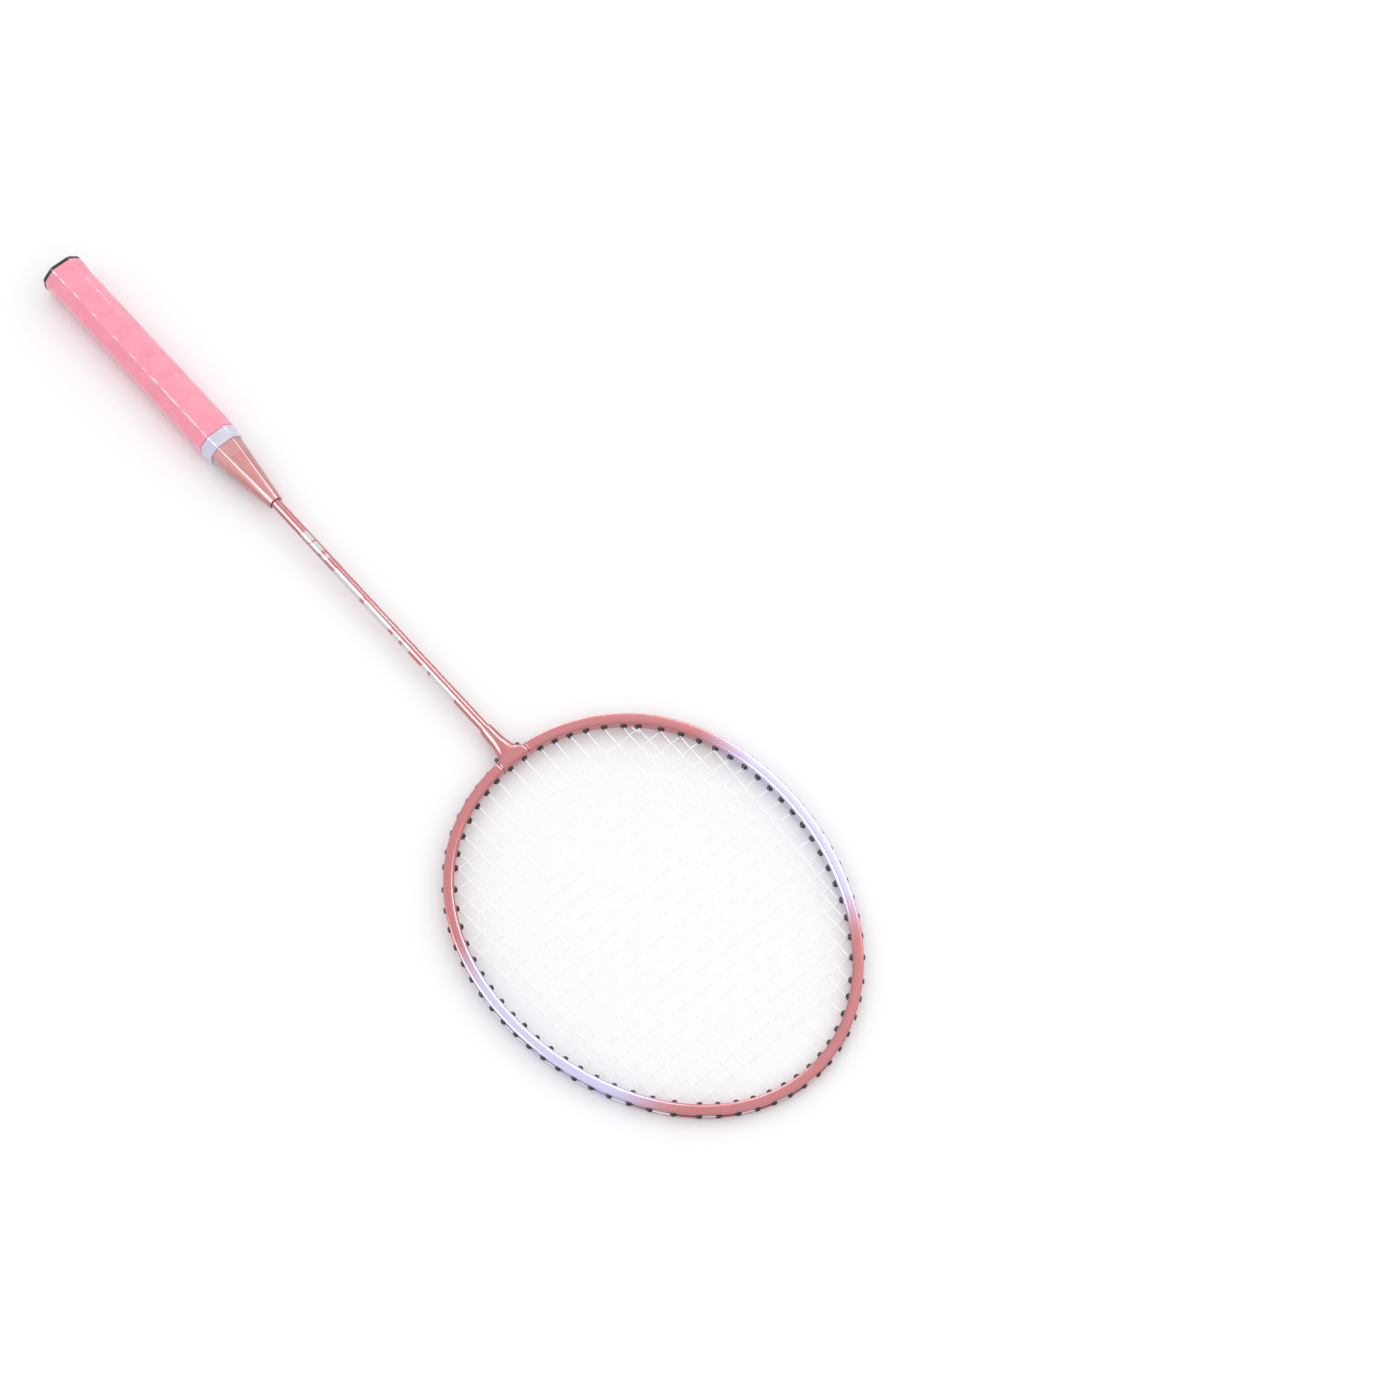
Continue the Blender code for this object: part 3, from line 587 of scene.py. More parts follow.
def octagon_track():
    """The handle's outline as a track C and a direction N, so that C + N * distance is a layer.

    C runs along the octagon that lies one corner radius inside the core. On a flat, C moves
    and N stays; on a corner, C stays and N turns by 45 degrees. The third result is the
    angle of the same point on a circle, which grows evenly from the middle of one flat to
    the middle of the next.
    """
    x, z = CORE_WIDTH / 2 - CORE_ROUND, CORE_HEIGHT / 2 - CORE_ROUND
    bevel = CORE_BEVEL - CORE_ROUND * (2 - math.sqrt(2))
    corners = np.array([
        (x, z - bevel), (x - bevel, z), (-(x - bevel), z), (-x, z - bevel),
        (-x, -(z - bevel)), (-(x - bevel), -z), (x - bevel, -z), (x, -(z - bevel)),
    ])
    face = np.arange(8) * math.pi / 4
    turn = np.linspace(0, math.pi / 4, CORNER_POINTS)
    corner_angle = face[:, None] + turn[None, :]
    corner_c = np.repeat(corners[:, None], CORNER_POINTS, axis=1)
    share = (np.arange(FLAT_POINTS) + 1) / (FLAT_POINTS + 1)
    after = np.roll(corners, -1, axis=0)
    flat_c = corners[:, None] + (after - corners)[:, None] * share[None, :, None]
    flat_angle = np.repeat((face + math.pi / 4)[:, None], FLAT_POINTS, axis=1)
    track = np.concatenate([corner_c, flat_c], axis=1).reshape(-1, 2)
    angle = np.concatenate([corner_angle, flat_angle], axis=1).reshape(-1)
    count = CORNER_POINTS + FLAT_POINTS
    even = (np.arange(8 * count) - (CORNER_POINTS - 1) / 2) / count * math.pi / 4 + math.pi / 8
    return track, circle(angle), even


TRACK, OUTWARD, EVEN_ANGLE = octagon_track()
EVEN_CIRCLE = circle(EVEN_ANGLE)


def flare(y):
    """The handle's swell at the butt: half a cosine wave that dies out over the flare's length."""
    along = np.clip((y - CAP_TOP) / FLARE_LENGTH, 0, 1)
    return BUTT_FLARE * (1 + np.cos(np.pi * along)) / 2


def handle_layer(y, distance):
    """Points of a layer: track + outward * (corner radius + flare + distance) at each y."""
    y = np.asarray(y)[:, None] if np.ndim(y) == 1 else y
    reach = (CORE_ROUND + flare(y) + distance)[..., None]
    flat = TRACK[None] + OUTWARD[None] * reach
    return standing(flat[..., 0], y, flat[..., 1])


def turn_share(y, angle):
    """Where a point lies across its turn of tape: 0 at the lapping edge and 1 at the one before.

    The lapping edge faces the head, climbs by one pitch for each turn, and wanders a little.
    """
    wander = 0.035 * np.sin(2.1 * angle + 190.0 * y) + 0.03 * np.sin(3.0 * angle - 71.0 * y + 1.3)
    return (-(y - GRIP_START) / WRAP_PITCH + angle / (2 * np.pi) + wander) % 1.0


def tape_height(share):
    """Height of the wound tape at a share s across one turn.

    It stands a lap's rise proud where it laps the turn before and sinks away as
    exp(-(s / 0.3)^2), swells by crown swell * (1 - |2 s - 1|^3.5) in the middle, and steps
    up by the lap's rise again over the last tenth.
    """
    lap = LAP_RISE * np.exp(-(share / 0.30) ** 2)
    swell = CROWN_SWELL * (1 - np.abs(2 * share - 1) ** 3.5)
    step = LAP_RISE * smoothstep(0.90, 1.0, share)
    return (lap + swell + step) * MM


def build_grip_wrap(finish):
    """Wound tape: the handle's layer at tape thickness + tape height, over a plain inner wall.

    Its upper end is eased by 0.5 mm as a quarter of a circle. A value per point, painted shade
    in the crease, is 1 just before the edge that laps the next turn.
    """
    y = np.linspace(GRIP_START, GRIP_END, 520)[:, None]
    angle = EVEN_ANGLE[None, :]
    share = turn_share(y, angle)
    height = tape_height(share)
    near_end = np.clip(1 - (GRIP_END - y) / (0.9 * MM), 0, 1)
    end_round = 0.5 * MM * (1 - np.sqrt(1 - near_end ** 2))
    outer = handle_layer(y + 0 * angle, WRAP_THICKNESS + height - end_round)
    inner_y = np.array([GRIP_END, GRIP_START])[:, None]
    inner = handle_layer(inner_y + 0 * angle, 0.3 * MM + 0 * share[:2])
    # painted shade: 1 in the crease just before each lapping edge, which darkens the wrap there
    crease = smoothstep(0.90, 0.965, share) * (1 - 0.6 * smoothstep(0.98, 1.0, share))
    grid = np.concatenate([outer, inner])
    crease = np.concatenate([crease, 0 * crease[:2]])
    piece = surface("grip_wrap_wound", grid, finish, "loop", {"crease": crease})
    hand_over(piece, "pink_grip_wrap", "grip_wrap")


def band_height(y):
    """The band lies on the end of the wrap and comes down on the cone as a smooth step."""
    down = smoothstep(BAND_START + 0.2 * MM, BAND_START + 5.2 * MM, y)
    return BAND_STAND - BAND_DROP * down


def build_finishing_band(finish):
    """Finishing tape: the handle's layer at the band's height, between two wavy ends.

    It stands a lap's height more past its slanting lap line, and its edges are eased down.
    The lap attribute is painted shade: it darkens the lap line and, more faintly, both rims.
    """
    angle = EVEN_ANGLE[None, :]
    share = np.linspace(0, 1, 40)[:, None]
    start = BAND_START - 0.1 * MM + 0.10 * MM * np.sin(2 * angle)
    end = BAND_END + 0.12 * MM * np.sin(angle + 0.8)
    y = start + (end - start) * share
    lap_line = (angle - 5.1 - 0.6 * share) % (2 * np.pi)
    lap_start = smoothstep(0.0, 0.05, lap_line)
    lap = BAND_LAP * lap_start * (1 - smoothstep(0.9, 0.96, lap_line))
    edge = 0.18 * MM * (1 - smoothstep(0.0, 0.035, share) * smoothstep(0.0, 0.035, 1 - share))
    outer = handle_layer(y, band_height(y) + lap - edge)
    inner = handle_layer(y[::-1][[0, -1]], 0.25 * MM + 0 * y[:2])
    # painted shade at the step of the lap line, and more faintly at both rims
    shade = lap_start * (1 - smoothstep(0.05, 0.12, lap_line)) + 0 * y
    rim = 1 - smoothstep(0.0, 0.10, np.minimum(share, 1 - share)) + 0 * angle
    shade = np.concatenate([np.maximum(shade, rim * 0.4), 0 * shade[:2]])
    grid = np.concatenate([outer, inner])
    piece = surface("finishing_band_lapped", grid, finish, "loop", {"lap": shade})
    hand_over(piece, "pale_tape", "finishing_band")


def cone_outline(y, inset):
    """The cone: the core's octagon at the band, a circle at the mouth, and a hollow line between.

    At each y the point is octagon * (1 - s) + circle * s, where s = t + hollow * t * (1 - t)
    and t is the share of the cone's length, moved inwards by inset.
    """
    along = np.clip((y - BAND_END) / (CONE_END - BAND_END), 0, 1)[:, None, None]
    s = along + CONE_HOLLOW * along * (1 - along)
    octagon = (TRACK + OUTWARD * CORE_ROUND)[None]
    mouth = CONE_MOUTH_RADIUS * EVEN_CIRCLE[None]
    flat = octagon * (1 - s) + mouth * s
    reach = np.linalg.norm(flat, axis=-1, keepdims=True)
    flat = flat * (reach - np.reshape(inset, (-1, 1, 1))) / reach
    return standing(flat[..., 0], y[:, None], flat[..., 1])


def build_handle_cone(finish):
    """The cone's outline up to a lip rounded as a quarter circle, then its hollow inside.

    The inside is a straight bore round the shaft, 0.6 mm clear of it and 14 mm deep, and
    below that the same outline moved in by the wall.
    """
    body = np.linspace(CONE_START, CONE_END - LIP, 70)
    bend = np.linspace(0, np.pi / 2, 6)[1:]
    lip_y = CONE_END - LIP + LIP * np.sin(bend)
    lip_inset = LIP * (1 - np.cos(bend))
    outer = cone_outline(np.concatenate([body, lip_y]), np.concatenate([0 * body, lip_inset]))
    bore = (SHAFT_RADIUS + 0.6 * MM) * EVEN_CIRCLE
    inside_y = np.array([CONE_END - 0.1 * MM, CONE_END - 14 * MM])[:, None]
    inside = standing(bore[:, 0], inside_y, bore[:, 1])
    shell = cone_outline(np.array([CONE_END - 20 * MM, CONE_START]), np.full(2, CONE_WALL))
    piece = surface("handle_cone_moulded", np.concatenate([outer, inside, shell]), finish, "loop")
    hand_over(piece, "rose_pearl_plastic", "handle_cone")


def build_grip_film(finish):
    """The film lies on the wrap, spans its creases, and steps down on the band and the cone.

    It is the same layers as those three, 0.16, 0.30 and 0.10 to 0.95 mm further out, with a
    bell curve of 0.10 mm over each crease. Its end on the cone is ragged as a sine wave.
    """
    angle = EVEN_ANGLE[None, :]
    on_handle = np.linspace(GRIP_START, BAND_END, 330)[:, None]
    share = turn_share(on_handle, angle)
    over_wrap = WRAP_THICKNESS + tape_height(share) + 0.16 * MM
    tent = 0.10 * MM * np.exp(-((share - 0.93) / 0.07) ** 2)
    over_band = band_height(on_handle) + 0.30 * MM
    past = smoothstep(GRIP_END - 0.8 * MM, GRIP_END + 1.6 * MM, on_handle)
    height = (over_wrap + tent) * (1 - past) + over_band * past
    handle_part = handle_layer(on_handle + 0 * angle, height)
    handle_under = handle_layer(on_handle + 0 * angle, height - FILM_THICKNESS)
    on_cone = np.linspace(0, 1, 22)[1:]
    last = FILM_END - 0.9 * MM
    cone_y = BAND_END + (last - BAND_END) * on_cone
    lift = 0.85 * MM * (1 - smoothstep(0.0, 0.35, on_cone)) + 0.10 * MM
    cone_part = cone_outline(cone_y, -(lift + 0.10 * MM))
    cone_under = cone_outline(cone_y, -lift)
    ragged = 0.9 * MM * np.sin(2 * angle + 0.6) * on_cone[:, None] ** 4
    cone_part[..., 1] += ragged
    cone_under[..., 1] += ragged
    grid = np.concatenate([handle_part, cone_part, cone_under[::-1], handle_under[::-1]])
    edge_handle = 0.08 * np.exp(-((share - 0.93) / 0.05) ** 2) * (1 - past)
    edge_cone = smoothstep(0.90, 1.0, on_cone)[:, None] + 0 * angle
    edge = np.concatenate([edge_handle, edge_cone, edge_cone[::-1], edge_handle[::-1]])
    piece = surface("grip_film_shrunk", grid, finish, "loop", {"edge": edge})
    hand_over(piece, "clear_film", "grip_film")


def build_butt_cap(finish):
    """The cap: a flat end, a rounded rim, the octagon's side and a plug inside the core.

    The rim is a quarter circle: y = r (1 - cos b), distance = stand - r (1 - sin b).
    """
    angle = EVEN_ANGLE[None, :]
    bend = np.linspace(0, np.pi / 2, 7)[:, None]
    y = np.concatenate([
        [[0.0]], CAP_RIM * (1 - np.cos(bend)), [[CAP_TOP - 0.2 * MM], [CAP_TOP]],
    ])
    distance = np.concatenate([
        [[CAP_STAND - 2.6 * MM]], CAP_STAND - CAP_RIM * (1 - np.sin(bend)),
        [[CAP_STAND], [1.72 * MM]],
    ])
    side = handle_layer(y + 0 * angle, distance + 0 * angle)
    plug = PLUG_RADIUS * EVEN_CIRCLE
    plug_y = np.array([CAP_TOP, CAP_TOP + 9.4 * MM, CAP_TOP + PLUG_LENGTH])[:, None]
    size = np.array([1.0, 1.0, 0.86])[:, None]
    plug_grid = standing(plug[:, 0] * size, plug_y, plug[:, 1] * size)
    piece = surface("butt_cap_moulded", np.concatenate([side, plug_grid]), finish)
    hand_over(piece, "black_cap_plastic", "butt_cap")


# ---- shaft and T-joint

def build_shaft(finish):
    """A straight round tube: (radius cos a, y, radius sin a), with eased ends."""
    angle = np.linspace(0, 2 * np.pi, 72, endpoint=False)[None, :]
    y = np.concatenate([
        [SHAFT_START], np.linspace(SHAFT_START + 0.2 * MM, SHAFT_END - 0.2 * MM, 60), [SHAFT_END],
    ])[:, None]
    radius = np.full_like(y, SHAFT_RADIUS)
    radius[[0, -1]] -= 0.2 * MM
    grid = standing(radius * np.cos(angle), y, radius * np.sin(angle))
    piece = surface("shaft_painted", grid, finish)
    hand_over(piece, "rose_metallic_paint", "shaft")


def build_t_joint(finish):
    """The T-joint as cross-sections from its collar to the inner wall of its sleeve.

    A section is |x / w|^n + |z / h|^n = 1. The half width w stays at the neck and then flares
    as a quarter of an ellipse, n grows from 2, a circle, to 12, almost a box, and h falls off
    on the inner wall as the round of the hoop. The sleeve follows the hoop: y grows by
    4.9 x^2 per metre there.
    """
    collar = np.linspace(0, np.pi / 2, 5)
    flare_angle = np.linspace(0, np.pi / 2, 26)[1:]
    flare_start, flare_end = NECK_START + 8.5 * MM, THROAT_Y - 3.5 * MM
    round_angle = np.linspace(0, np.pi / 2, 10)[1:]
    inner_round = 2.35 * MM
    inner_start = THROAT_Y + 3.25 * MM - inner_round
    y = np.concatenate([
        [NECK_START + 6 * MM, NECK_START + 0.05 * MM],
        NECK_START + LIP * (1 - np.cos(collar)),
        np.linspace(NECK_START + 1.2 * MM, flare_start, 8),
        flare_start + (flare_end - flare_start) * np.sin(flare_angle),
        np.linspace(flare_end + 0.3 * MM, inner_start, 12),
        inner_start + inner_round * np.sin(round_angle),
    ])
    neck = np.interp(y, [NECK_START, flare_start], [COLLAR_RADIUS, 4.5 * MM])
    flare_share = np.interp(
        y, flare_start + (flare_end - flare_start) * np.sin(flare_angle), 1 - np.cos(flare_angle),
        left=0.0, right=1.0,
    )
    half_width = neck + (SEAM_X - SEAM_GAP - neck) * flare_share
    half_height = np.interp(
        y, [NECK_START, flare_start, flare_end], [COLLAR_RADIUS, 3.95 * MM, SLEEVE_HALF_HEIGHT],
    )
    sink = np.clip((y - inner_start) / inner_round, 0, 1)
    half_height = half_height - inner_round * (1 - np.sqrt(np.clip(1 - sink ** 2, 0, 1)))
    power = np.interp(
        y, [flare_start, flare_end - 1 * MM, flare_end + 1.4 * MM, flare_end + 2.6 * MM],
        [2.0, 2.8, 6.0, 12.0],
    )
    half_width[:2] = half_height[:2] = SHAFT_RADIUS + 0.06 * MM
    half_width[2:7] = half_height[2:7] = COLLAR_RADIUS - LIP * (1 - np.sin(collar))
    angle = np.linspace(0, 2 * np.pi, 144, endpoint=False)[None, :]
    # the power 2 / n of a cosine or sine spreads the points over the box-like sections
    cos, sin = np.cos(angle), np.sin(angle)
    exponent = (2 / power)[:, None]
    x = half_width[:, None] * np.sign(cos) * np.abs(cos) ** exponent
    z = half_height[:, None] * np.sign(sin) * np.abs(sin) ** exponent
    bend = smoothstep(NECK_START + 14 * MM, flare_end, y)[:, None]
    grid = np.stack([x, y[:, None] + bend * SLEEVE_CURVE * x ** 2, z], axis=-1)
    piece = surface("t_joint_cast", grid, finish)
    hand_over(piece, "rose_metallic_paint", "t_joint")


# ---- head

def head_point(turn):
    """The hoop's centreline: x = W sin a (1 + f cos a + s cos^2 a), y = middle - L cos a."""
    cos, sin = np.cos(turn), np.sin(turn)
    x = HEAD_HALF_WIDTH * sin * (1 + FULLNESS * cos + SQUARENESS * cos ** 2)
    return np.stack([x, HEAD_CENTRE_Y - HEAD_HALF_LENGTH * cos, 0 * x], axis=-1)


def head_normal(turn):
    """The outward direction in the plane of the strings: the path's slope turned by 90 degrees."""
    cos, sin = np.cos(turn), np.sin(turn)
    full = 1 + FULLNESS * cos + SQUARENESS * cos ** 2
    slope_x = HEAD_HALF_WIDTH * (cos * full - sin * sin * (FULLNESS + 2 * SQUARENESS * cos))
    slope_y = HEAD_HALF_LENGTH * sin
    size = np.hypot(slope_x, slope_y)
    return np.stack([slope_y / size, -slope_x / size, 0 * size], axis=-1)


def mouth_point(turn):
    """The end of a grommet's barrel: the centreline less its normal * the reach inwards."""
    return head_point(turn) - head_normal(turn) * (HOOP_HALF_DEPTH + BARREL_STAND)


FINE_TURN = np.linspace(0, np.pi, 20001)
MOUTHS = mouth_point(FINE_TURN)
INNERMOST_X = 4.5 * MM
THROAT_HOLES_X = (15.6 * MM, HEAD_HALF_WIDTH - 41.5 * MM)
SIDE_HOLES_Y = (THROAT_Y + 31.0 * MM, TIP_Y - 26.6 * MM)
TIP_HOLES_X = (HEAD_HALF_WIDTH - 54.3 * MM, INNERMOST_X)


def hole_turns():
    """Turns of one side's 34 holes: one by the axis, 6 evenly across, 21 evenly along, 6 across."""
    near = FINE_TURN < np.pi / 2
    throat = np.concatenate([[INNERMOST_X], np.linspace(*THROAT_HOLES_X, 6)])
    side = np.linspace(*SIDE_HOLES_Y, LAST_CROSS - FIRST_CROSS + 1)
    tip = np.linspace(*TIP_HOLES_X, 6)
    return np.concatenate([
        np.interp(throat, MOUTHS[near, 0], FINE_TURN[near]),
        np.interp(side, MOUTHS[:, 1], FINE_TURN),
        np.interp(-tip, -MOUTHS[~near, 0], FINE_TURN[~near]),
    ])


TURNS = hole_turns()
MOUTH = mouth_point(TURNS)
AXIS = head_normal(TURNS)
TILT_COS, TILT_SIN = math.cos(THROAT_TILT), math.sin(THROAT_TILT)
# the barrel nearest the shaft leans away from it
AXIS[0] = (
    AXIS[0, 0] * TILT_COS - AXIS[0, 1] * TILT_SIN,
    AXIS[0, 0] * TILT_SIN + AXIS[0, 1] * TILT_COS, 0.0,
)
MIRROR = {"right": np.array([1.0, 1.0, 1.0]), "left": np.array([-1.0, 1.0, 1.0])}


def build_hoop(finish):
    """The hoop's rounded section, with its string groove, carried round the head's centreline.

    A point is centre + normal * out, raised by up. Both ends are 7 percent smaller, and the
    full size begins 0.25 mm further on.
    """
    d, h, groove_d, groove_h = 3.1, 4.0, 1.9, 1.7  # millimetres out from the centre, and up
    corners = [
        (-d, -h), (d, -h), (d, -groove_h), (groove_d, -groove_h),
        (groove_d, groove_h), (d, groove_h), (d, h), (-d, h),
    ]
    inner_round, outer_round, groove_rim, groove_round = 2.35, 1.15, 0.35, 0.4
    radii = [inner_round, outer_round, groove_rim, groove_round]
    section = rounded(corners, radii + radii[::-1], 8) * MM
    throat_turn = FINE_TURN[:5000]
    start = float(np.interp(SEAM_X + SEAM_GAP, head_point(throat_turn)[:, 0], throat_turn))
    turn = np.linspace(start, 2 * np.pi - start, 520)
    turn = np.concatenate([[start], turn, [2 * np.pi - start]])
    centre, normal = head_point(turn), head_normal(turn)
    trim = np.ones(len(turn))
    trim[[0, -1]] = 0.93
    out = section[None, :, 0] * trim[:, None]
    up = section[None, :, 1] * trim[:, None]
    grid = centre[:, None] + normal[:, None] * out[..., None]
    grid[..., 2] += up
    for row, after in ((1, 2), (-2, -3)):
        along = grid[after] - grid[row]
        along /= np.linalg.norm(along, axis=-1, keepdims=True)
        grid[row] += along * (0.25 * MM)
    piece = surface("head_hoop_painted", grid, finish)
    hand_over(piece, "rose_hoop_paint", "head_hoop")


def grommet_rows():
    """A grommet's profile as (distance out from the mouth, radius, share of the flange's shape).

    It is a closed line: the tip, the shoulder on the hoop's inner wall, the barrel, the
    flange, the raised rim and the bore.
    """
    return np.array([
        (0.00, 1.10, 0), (0.08, 1.26, 0), (0.70, 1.38, 0), (0.86, 1.70, 0), (1.08, 1.95, 0),
        (1.64, 2.02, 0), (2.10, 1.40, 0), (6.85, 1.40, 0), (6.85, 1.50, 1), (7.05, 1.50, 1),
        (7.22, 1.42, 1), (7.30, 1.32, 0.45), (7.32, 1.72, 0), (8.40, 1.60, 0), (8.70, 1.20, 0),
        (8.60, 0.92, 0), (4.00, 0.88, 0), (0.15, 0.86, 0),
    ])


def grommet_grids(mirror):
    """One side's grommets: mouth + axis * distance + (along cos a + up sin a) * radius.

    The flange's reach is (|cos a / 1.8|^3 + |sin a / 0.92|^3)^(-1/3) times the radius given,
    so that it is twice as long along the hoop as it is high.
    """
    rows = grommet_rows()
    rim, far = rows[-4, 0], rows[:, 0] > 6.5
    angle = np.linspace(0, 2 * np.pi, 20, endpoint=False)
    flange = (np.abs(np.cos(angle) / 1.80) ** 3 + np.abs(np.sin(angle) / 0.92) ** 3) ** (-1 / 3)
    radius = rows[:, 1:2] * (1 - rows[:, 2:3] + rows[:, 2:3] * flange[None]) * MM
    radius = np.broadcast_to(radius[None], (HOLES, *radius.shape)).copy()
    out = np.broadcast_to(rows[None, :, 0] * MM, (HOLES, len(rows))).copy()
    mouth, axis = MOUTH * mirror, AXIS * mirror
    # the barrel nearest the shaft is long, and its head is a plain cone
    out[0, far] = (rows[far, 0] - rim) * MM + THROAT_BARREL + 0.2 * MM
    plain = np.interp(rows[:, 0], [6.8, rim], [1.60, 0.95])[:, None] + 0 * angle[None]
    bore = np.arange(len(rows)) >= len(rows) - 3
    radius[0] = np.where((far & ~bore)[:, None], plain * MM, radius[0])
    up = np.array([0.0, 0.0, 1.0])
    along = np.cross(up, axis)
    spread = (
        along[:, None, None] * np.cos(angle)[None, None, :, None]
        + up[None, None, None] * np.sin(angle)[None, None, :, None]
    )
    barrel = mouth[:, None, None] + axis[:, None, None] * out[:, :, None, None]
    return barrel + spread * radius[..., None]


def tipped(grid, mouth, axis, lean, swing):
    """Bends a grommet's tip: point + depth^1.5 * (lean up and swing to one side).

    The depth grows from 0 at the shoulder to 1 at the mouth.
    """
    out = np.einsum("rcj,j->rc", grid - mouth, axis)
    depth = np.clip((SHOULDER - out) / SHOULDER, 0, 1)[..., None]
    return grid + depth ** 1.5 * (np.array([0.0, 0.0, lean]) + np.array(swing))


def build_grommets(finish):
    """Both sides' grommets, each with a slightly bent tip, and one that stands well up."""
    for side, mirror in MIRROR.items():
        grids = grommet_grids(mirror)
        phase = 2.0 if side == "left" else 0.0
        lean = 0.28 * MM * np.array([math.sin(7.3 * n + phase) for n in range(HOLES)])
        if side == "right":
            lean[17] = 1.5 * MM
        for n in range(1, HOLES):
            axis = AXIS[n] * mirror
            swing = np.cross((0, 0, 1), axis) * 0.22 * MM * math.sin(11.0 * n + 1.0)
            grids[n] = tipped(grids[n], MOUTH[n] * mirror, axis, lean[n], swing)
        piece = repeated(f"grommets_{side}_side", grids, finish)
        nodes = [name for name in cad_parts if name.startswith(f"grommet_{side}_")]
        hand_over(piece, "black_nylon", *nodes)


# ---- strings

def tube(name, path, radius, finish):
    """A round cord carried along a path: point + radius * (across cos a + upright sin a)."""
    step = np.gradient(path, axis=0)
    step /= np.linalg.norm(step, axis=1)[:, None]
    across = np.cross(step, (0.0, 0.0, 1.0))
    size = np.linalg.norm(across, axis=1)[:, None]
    across = across / np.maximum(size, 1e-9)
    upright = np.cross(across, step)
    angle = np.linspace(0, 2 * np.pi, 8, endpoint=False)[None, :, None]
    radius = np.reshape(radius, (-1, 1, 1))
    ring = across[:, None] * np.cos(angle) + upright[:, None] * np.sin(angle)
    return surface(name, path[:, None] + radius * ring, finish)


def eased(path):
    """Corner cutting: each leg keeps its points at a quarter and three quarters."""
    quarter = path[:-1] * 0.75 + path[1:] * 0.25
    three = path[:-1] * 0.25 + path[1:] * 0.75
    cut = np.stack([quarter, three], axis=1).reshape(-1, 3)
    return np.concatenate([path[:1], cut, path[-1:]])


def crossings(start, end, other_starts, other_ends):
    """Shares of one run at which the other runs cross it: the 2 x 2 system solved for all."""
    a, b = start[:2], end[:2]
    c, d = other_starts[:, :2], other_ends[:, :2]
    run, other = b - a, d - c
    det = run[0] * -other[:, 1] + other[:, 0] * run[1]
    gap = c - a
    share = (gap[:, 0] * -other[:, 1] + other[:, 0] * gap[:, 1]) / det
    across = (run[0] * gap[:, 1] - run[1] * gap[:, 0]) / det
    return share, (share > 0) & (share < 1) & (across > 0) & (across < 1)


def woven_run(start, end, shares, signs, level):
    """A straight run that waves: height = sign * weave * cos(pi * count of crossings passed).

    Before the first crossing and after the last one it settles at the level of its bores.
    """
    order = np.argsort(shares)
    shares, signs = shares[order], signs[order]
    count = np.arange(len(shares))
    knots = np.concatenate([[0.0], shares, [1.0]])
    index = np.concatenate([[-0.5], count, [count[-1] + 0.5]])
    evenly = np.linspace(-0.5, count[-1] + 0.5, 4 * (len(count) + 1) + 1)
    place = np.unique(np.concatenate([np.interp(evenly, index, knots), shares]))
    passed = np.interp(place, knots, index)
    wave = signs[0] * WEAVE * np.cos(np.pi * passed)
    near_end = np.minimum(place, 1.0 - place) * np.linalg.norm(end - start)
    settle = smoothstep(0.0, 3.5 * MM, near_end)
    height = wave * settle + level * (1 - settle)
    path = start + (end - start) * place[:, None]
    path[:, 2] = height
    return path


def out_of_bore(number, mirror, level):
    """Points from the mouth, through the bore, to where the string turns into the groove."""
    past_hoop = HOOP_HALF_DEPTH + BARREL_STAND + LOOP_LEVEL
    length = THROAT_BARREL + 1.0 * MM if number == 0 else past_hoop
    out = np.array([0.0, 0.45, 0.9, 1.0])[:, None] * length
    points = MOUTH[number] * mirror + AXIS[number] * mirror * out
    points[:, 2] = level
    return points


def groove_walk(first, second, mirror, level):
    """The string outside the hoop between two holes of one side."""
    turn = np.linspace(TURNS[first], TURNS[second], 7)[1:-1]
    points = head_point(turn) + head_normal(turn) * LOOP_LEVEL
    points[:, 2] = level
    return points * mirror


def main_holes(n):
    """The nth main's holes by the throat and by the tip. The last one passes over a throat hole."""
    return MAINS if n == MAINS else n - 1, HOLES - n


def main_string_path():
    """The mains: from the edge of the +X side to the edge of the -X side, up and down in turn."""
    crosses = np.arange(FIRST_CROSS, LAST_CROSS + 1)
    left, right = MOUTH[crosses] * MIRROR["left"], MOUTH[crosses] * MIRROR["right"]
    outwards = list(range(1, MAINS + 1))
    columns = [("right", n) for n in outwards[::-1]] + [("left", n) for n in outwards]
    path, before = [], None
    for column, (side, n) in enumerate(columns):
        mirror = MIRROR[side]
        throat, tip = main_holes(n)
        start, end = MOUTH[throat] * mirror, MOUTH[tip] * mirror
        shares, meets = crossings(start, end, left, right)
        signs = np.where((np.arange(len(crosses)) + column) % 2 == 0, 1.0, -1.0)
        run = woven_run(start, end, shares[meets], signs[meets], BORE_LEVEL)
        whole = np.concatenate([
            out_of_bore(throat, mirror, BORE_LEVEL)[:0:-1], run,
            out_of_bore(tip, mirror, BORE_LEVEL)[1:],
        ])
        entered, left_by = (throat, tip) if column % 2 == 0 else (tip, throat)
        if column % 2:
            whole = whole[::-1]
        if before is not None and before[0] == side:
            path.append(groove_walk(before[1], entered, mirror, BORE_LEVEL))
        path.append(whole)
        before = (side, left_by)
    return eased(np.concatenate(path))


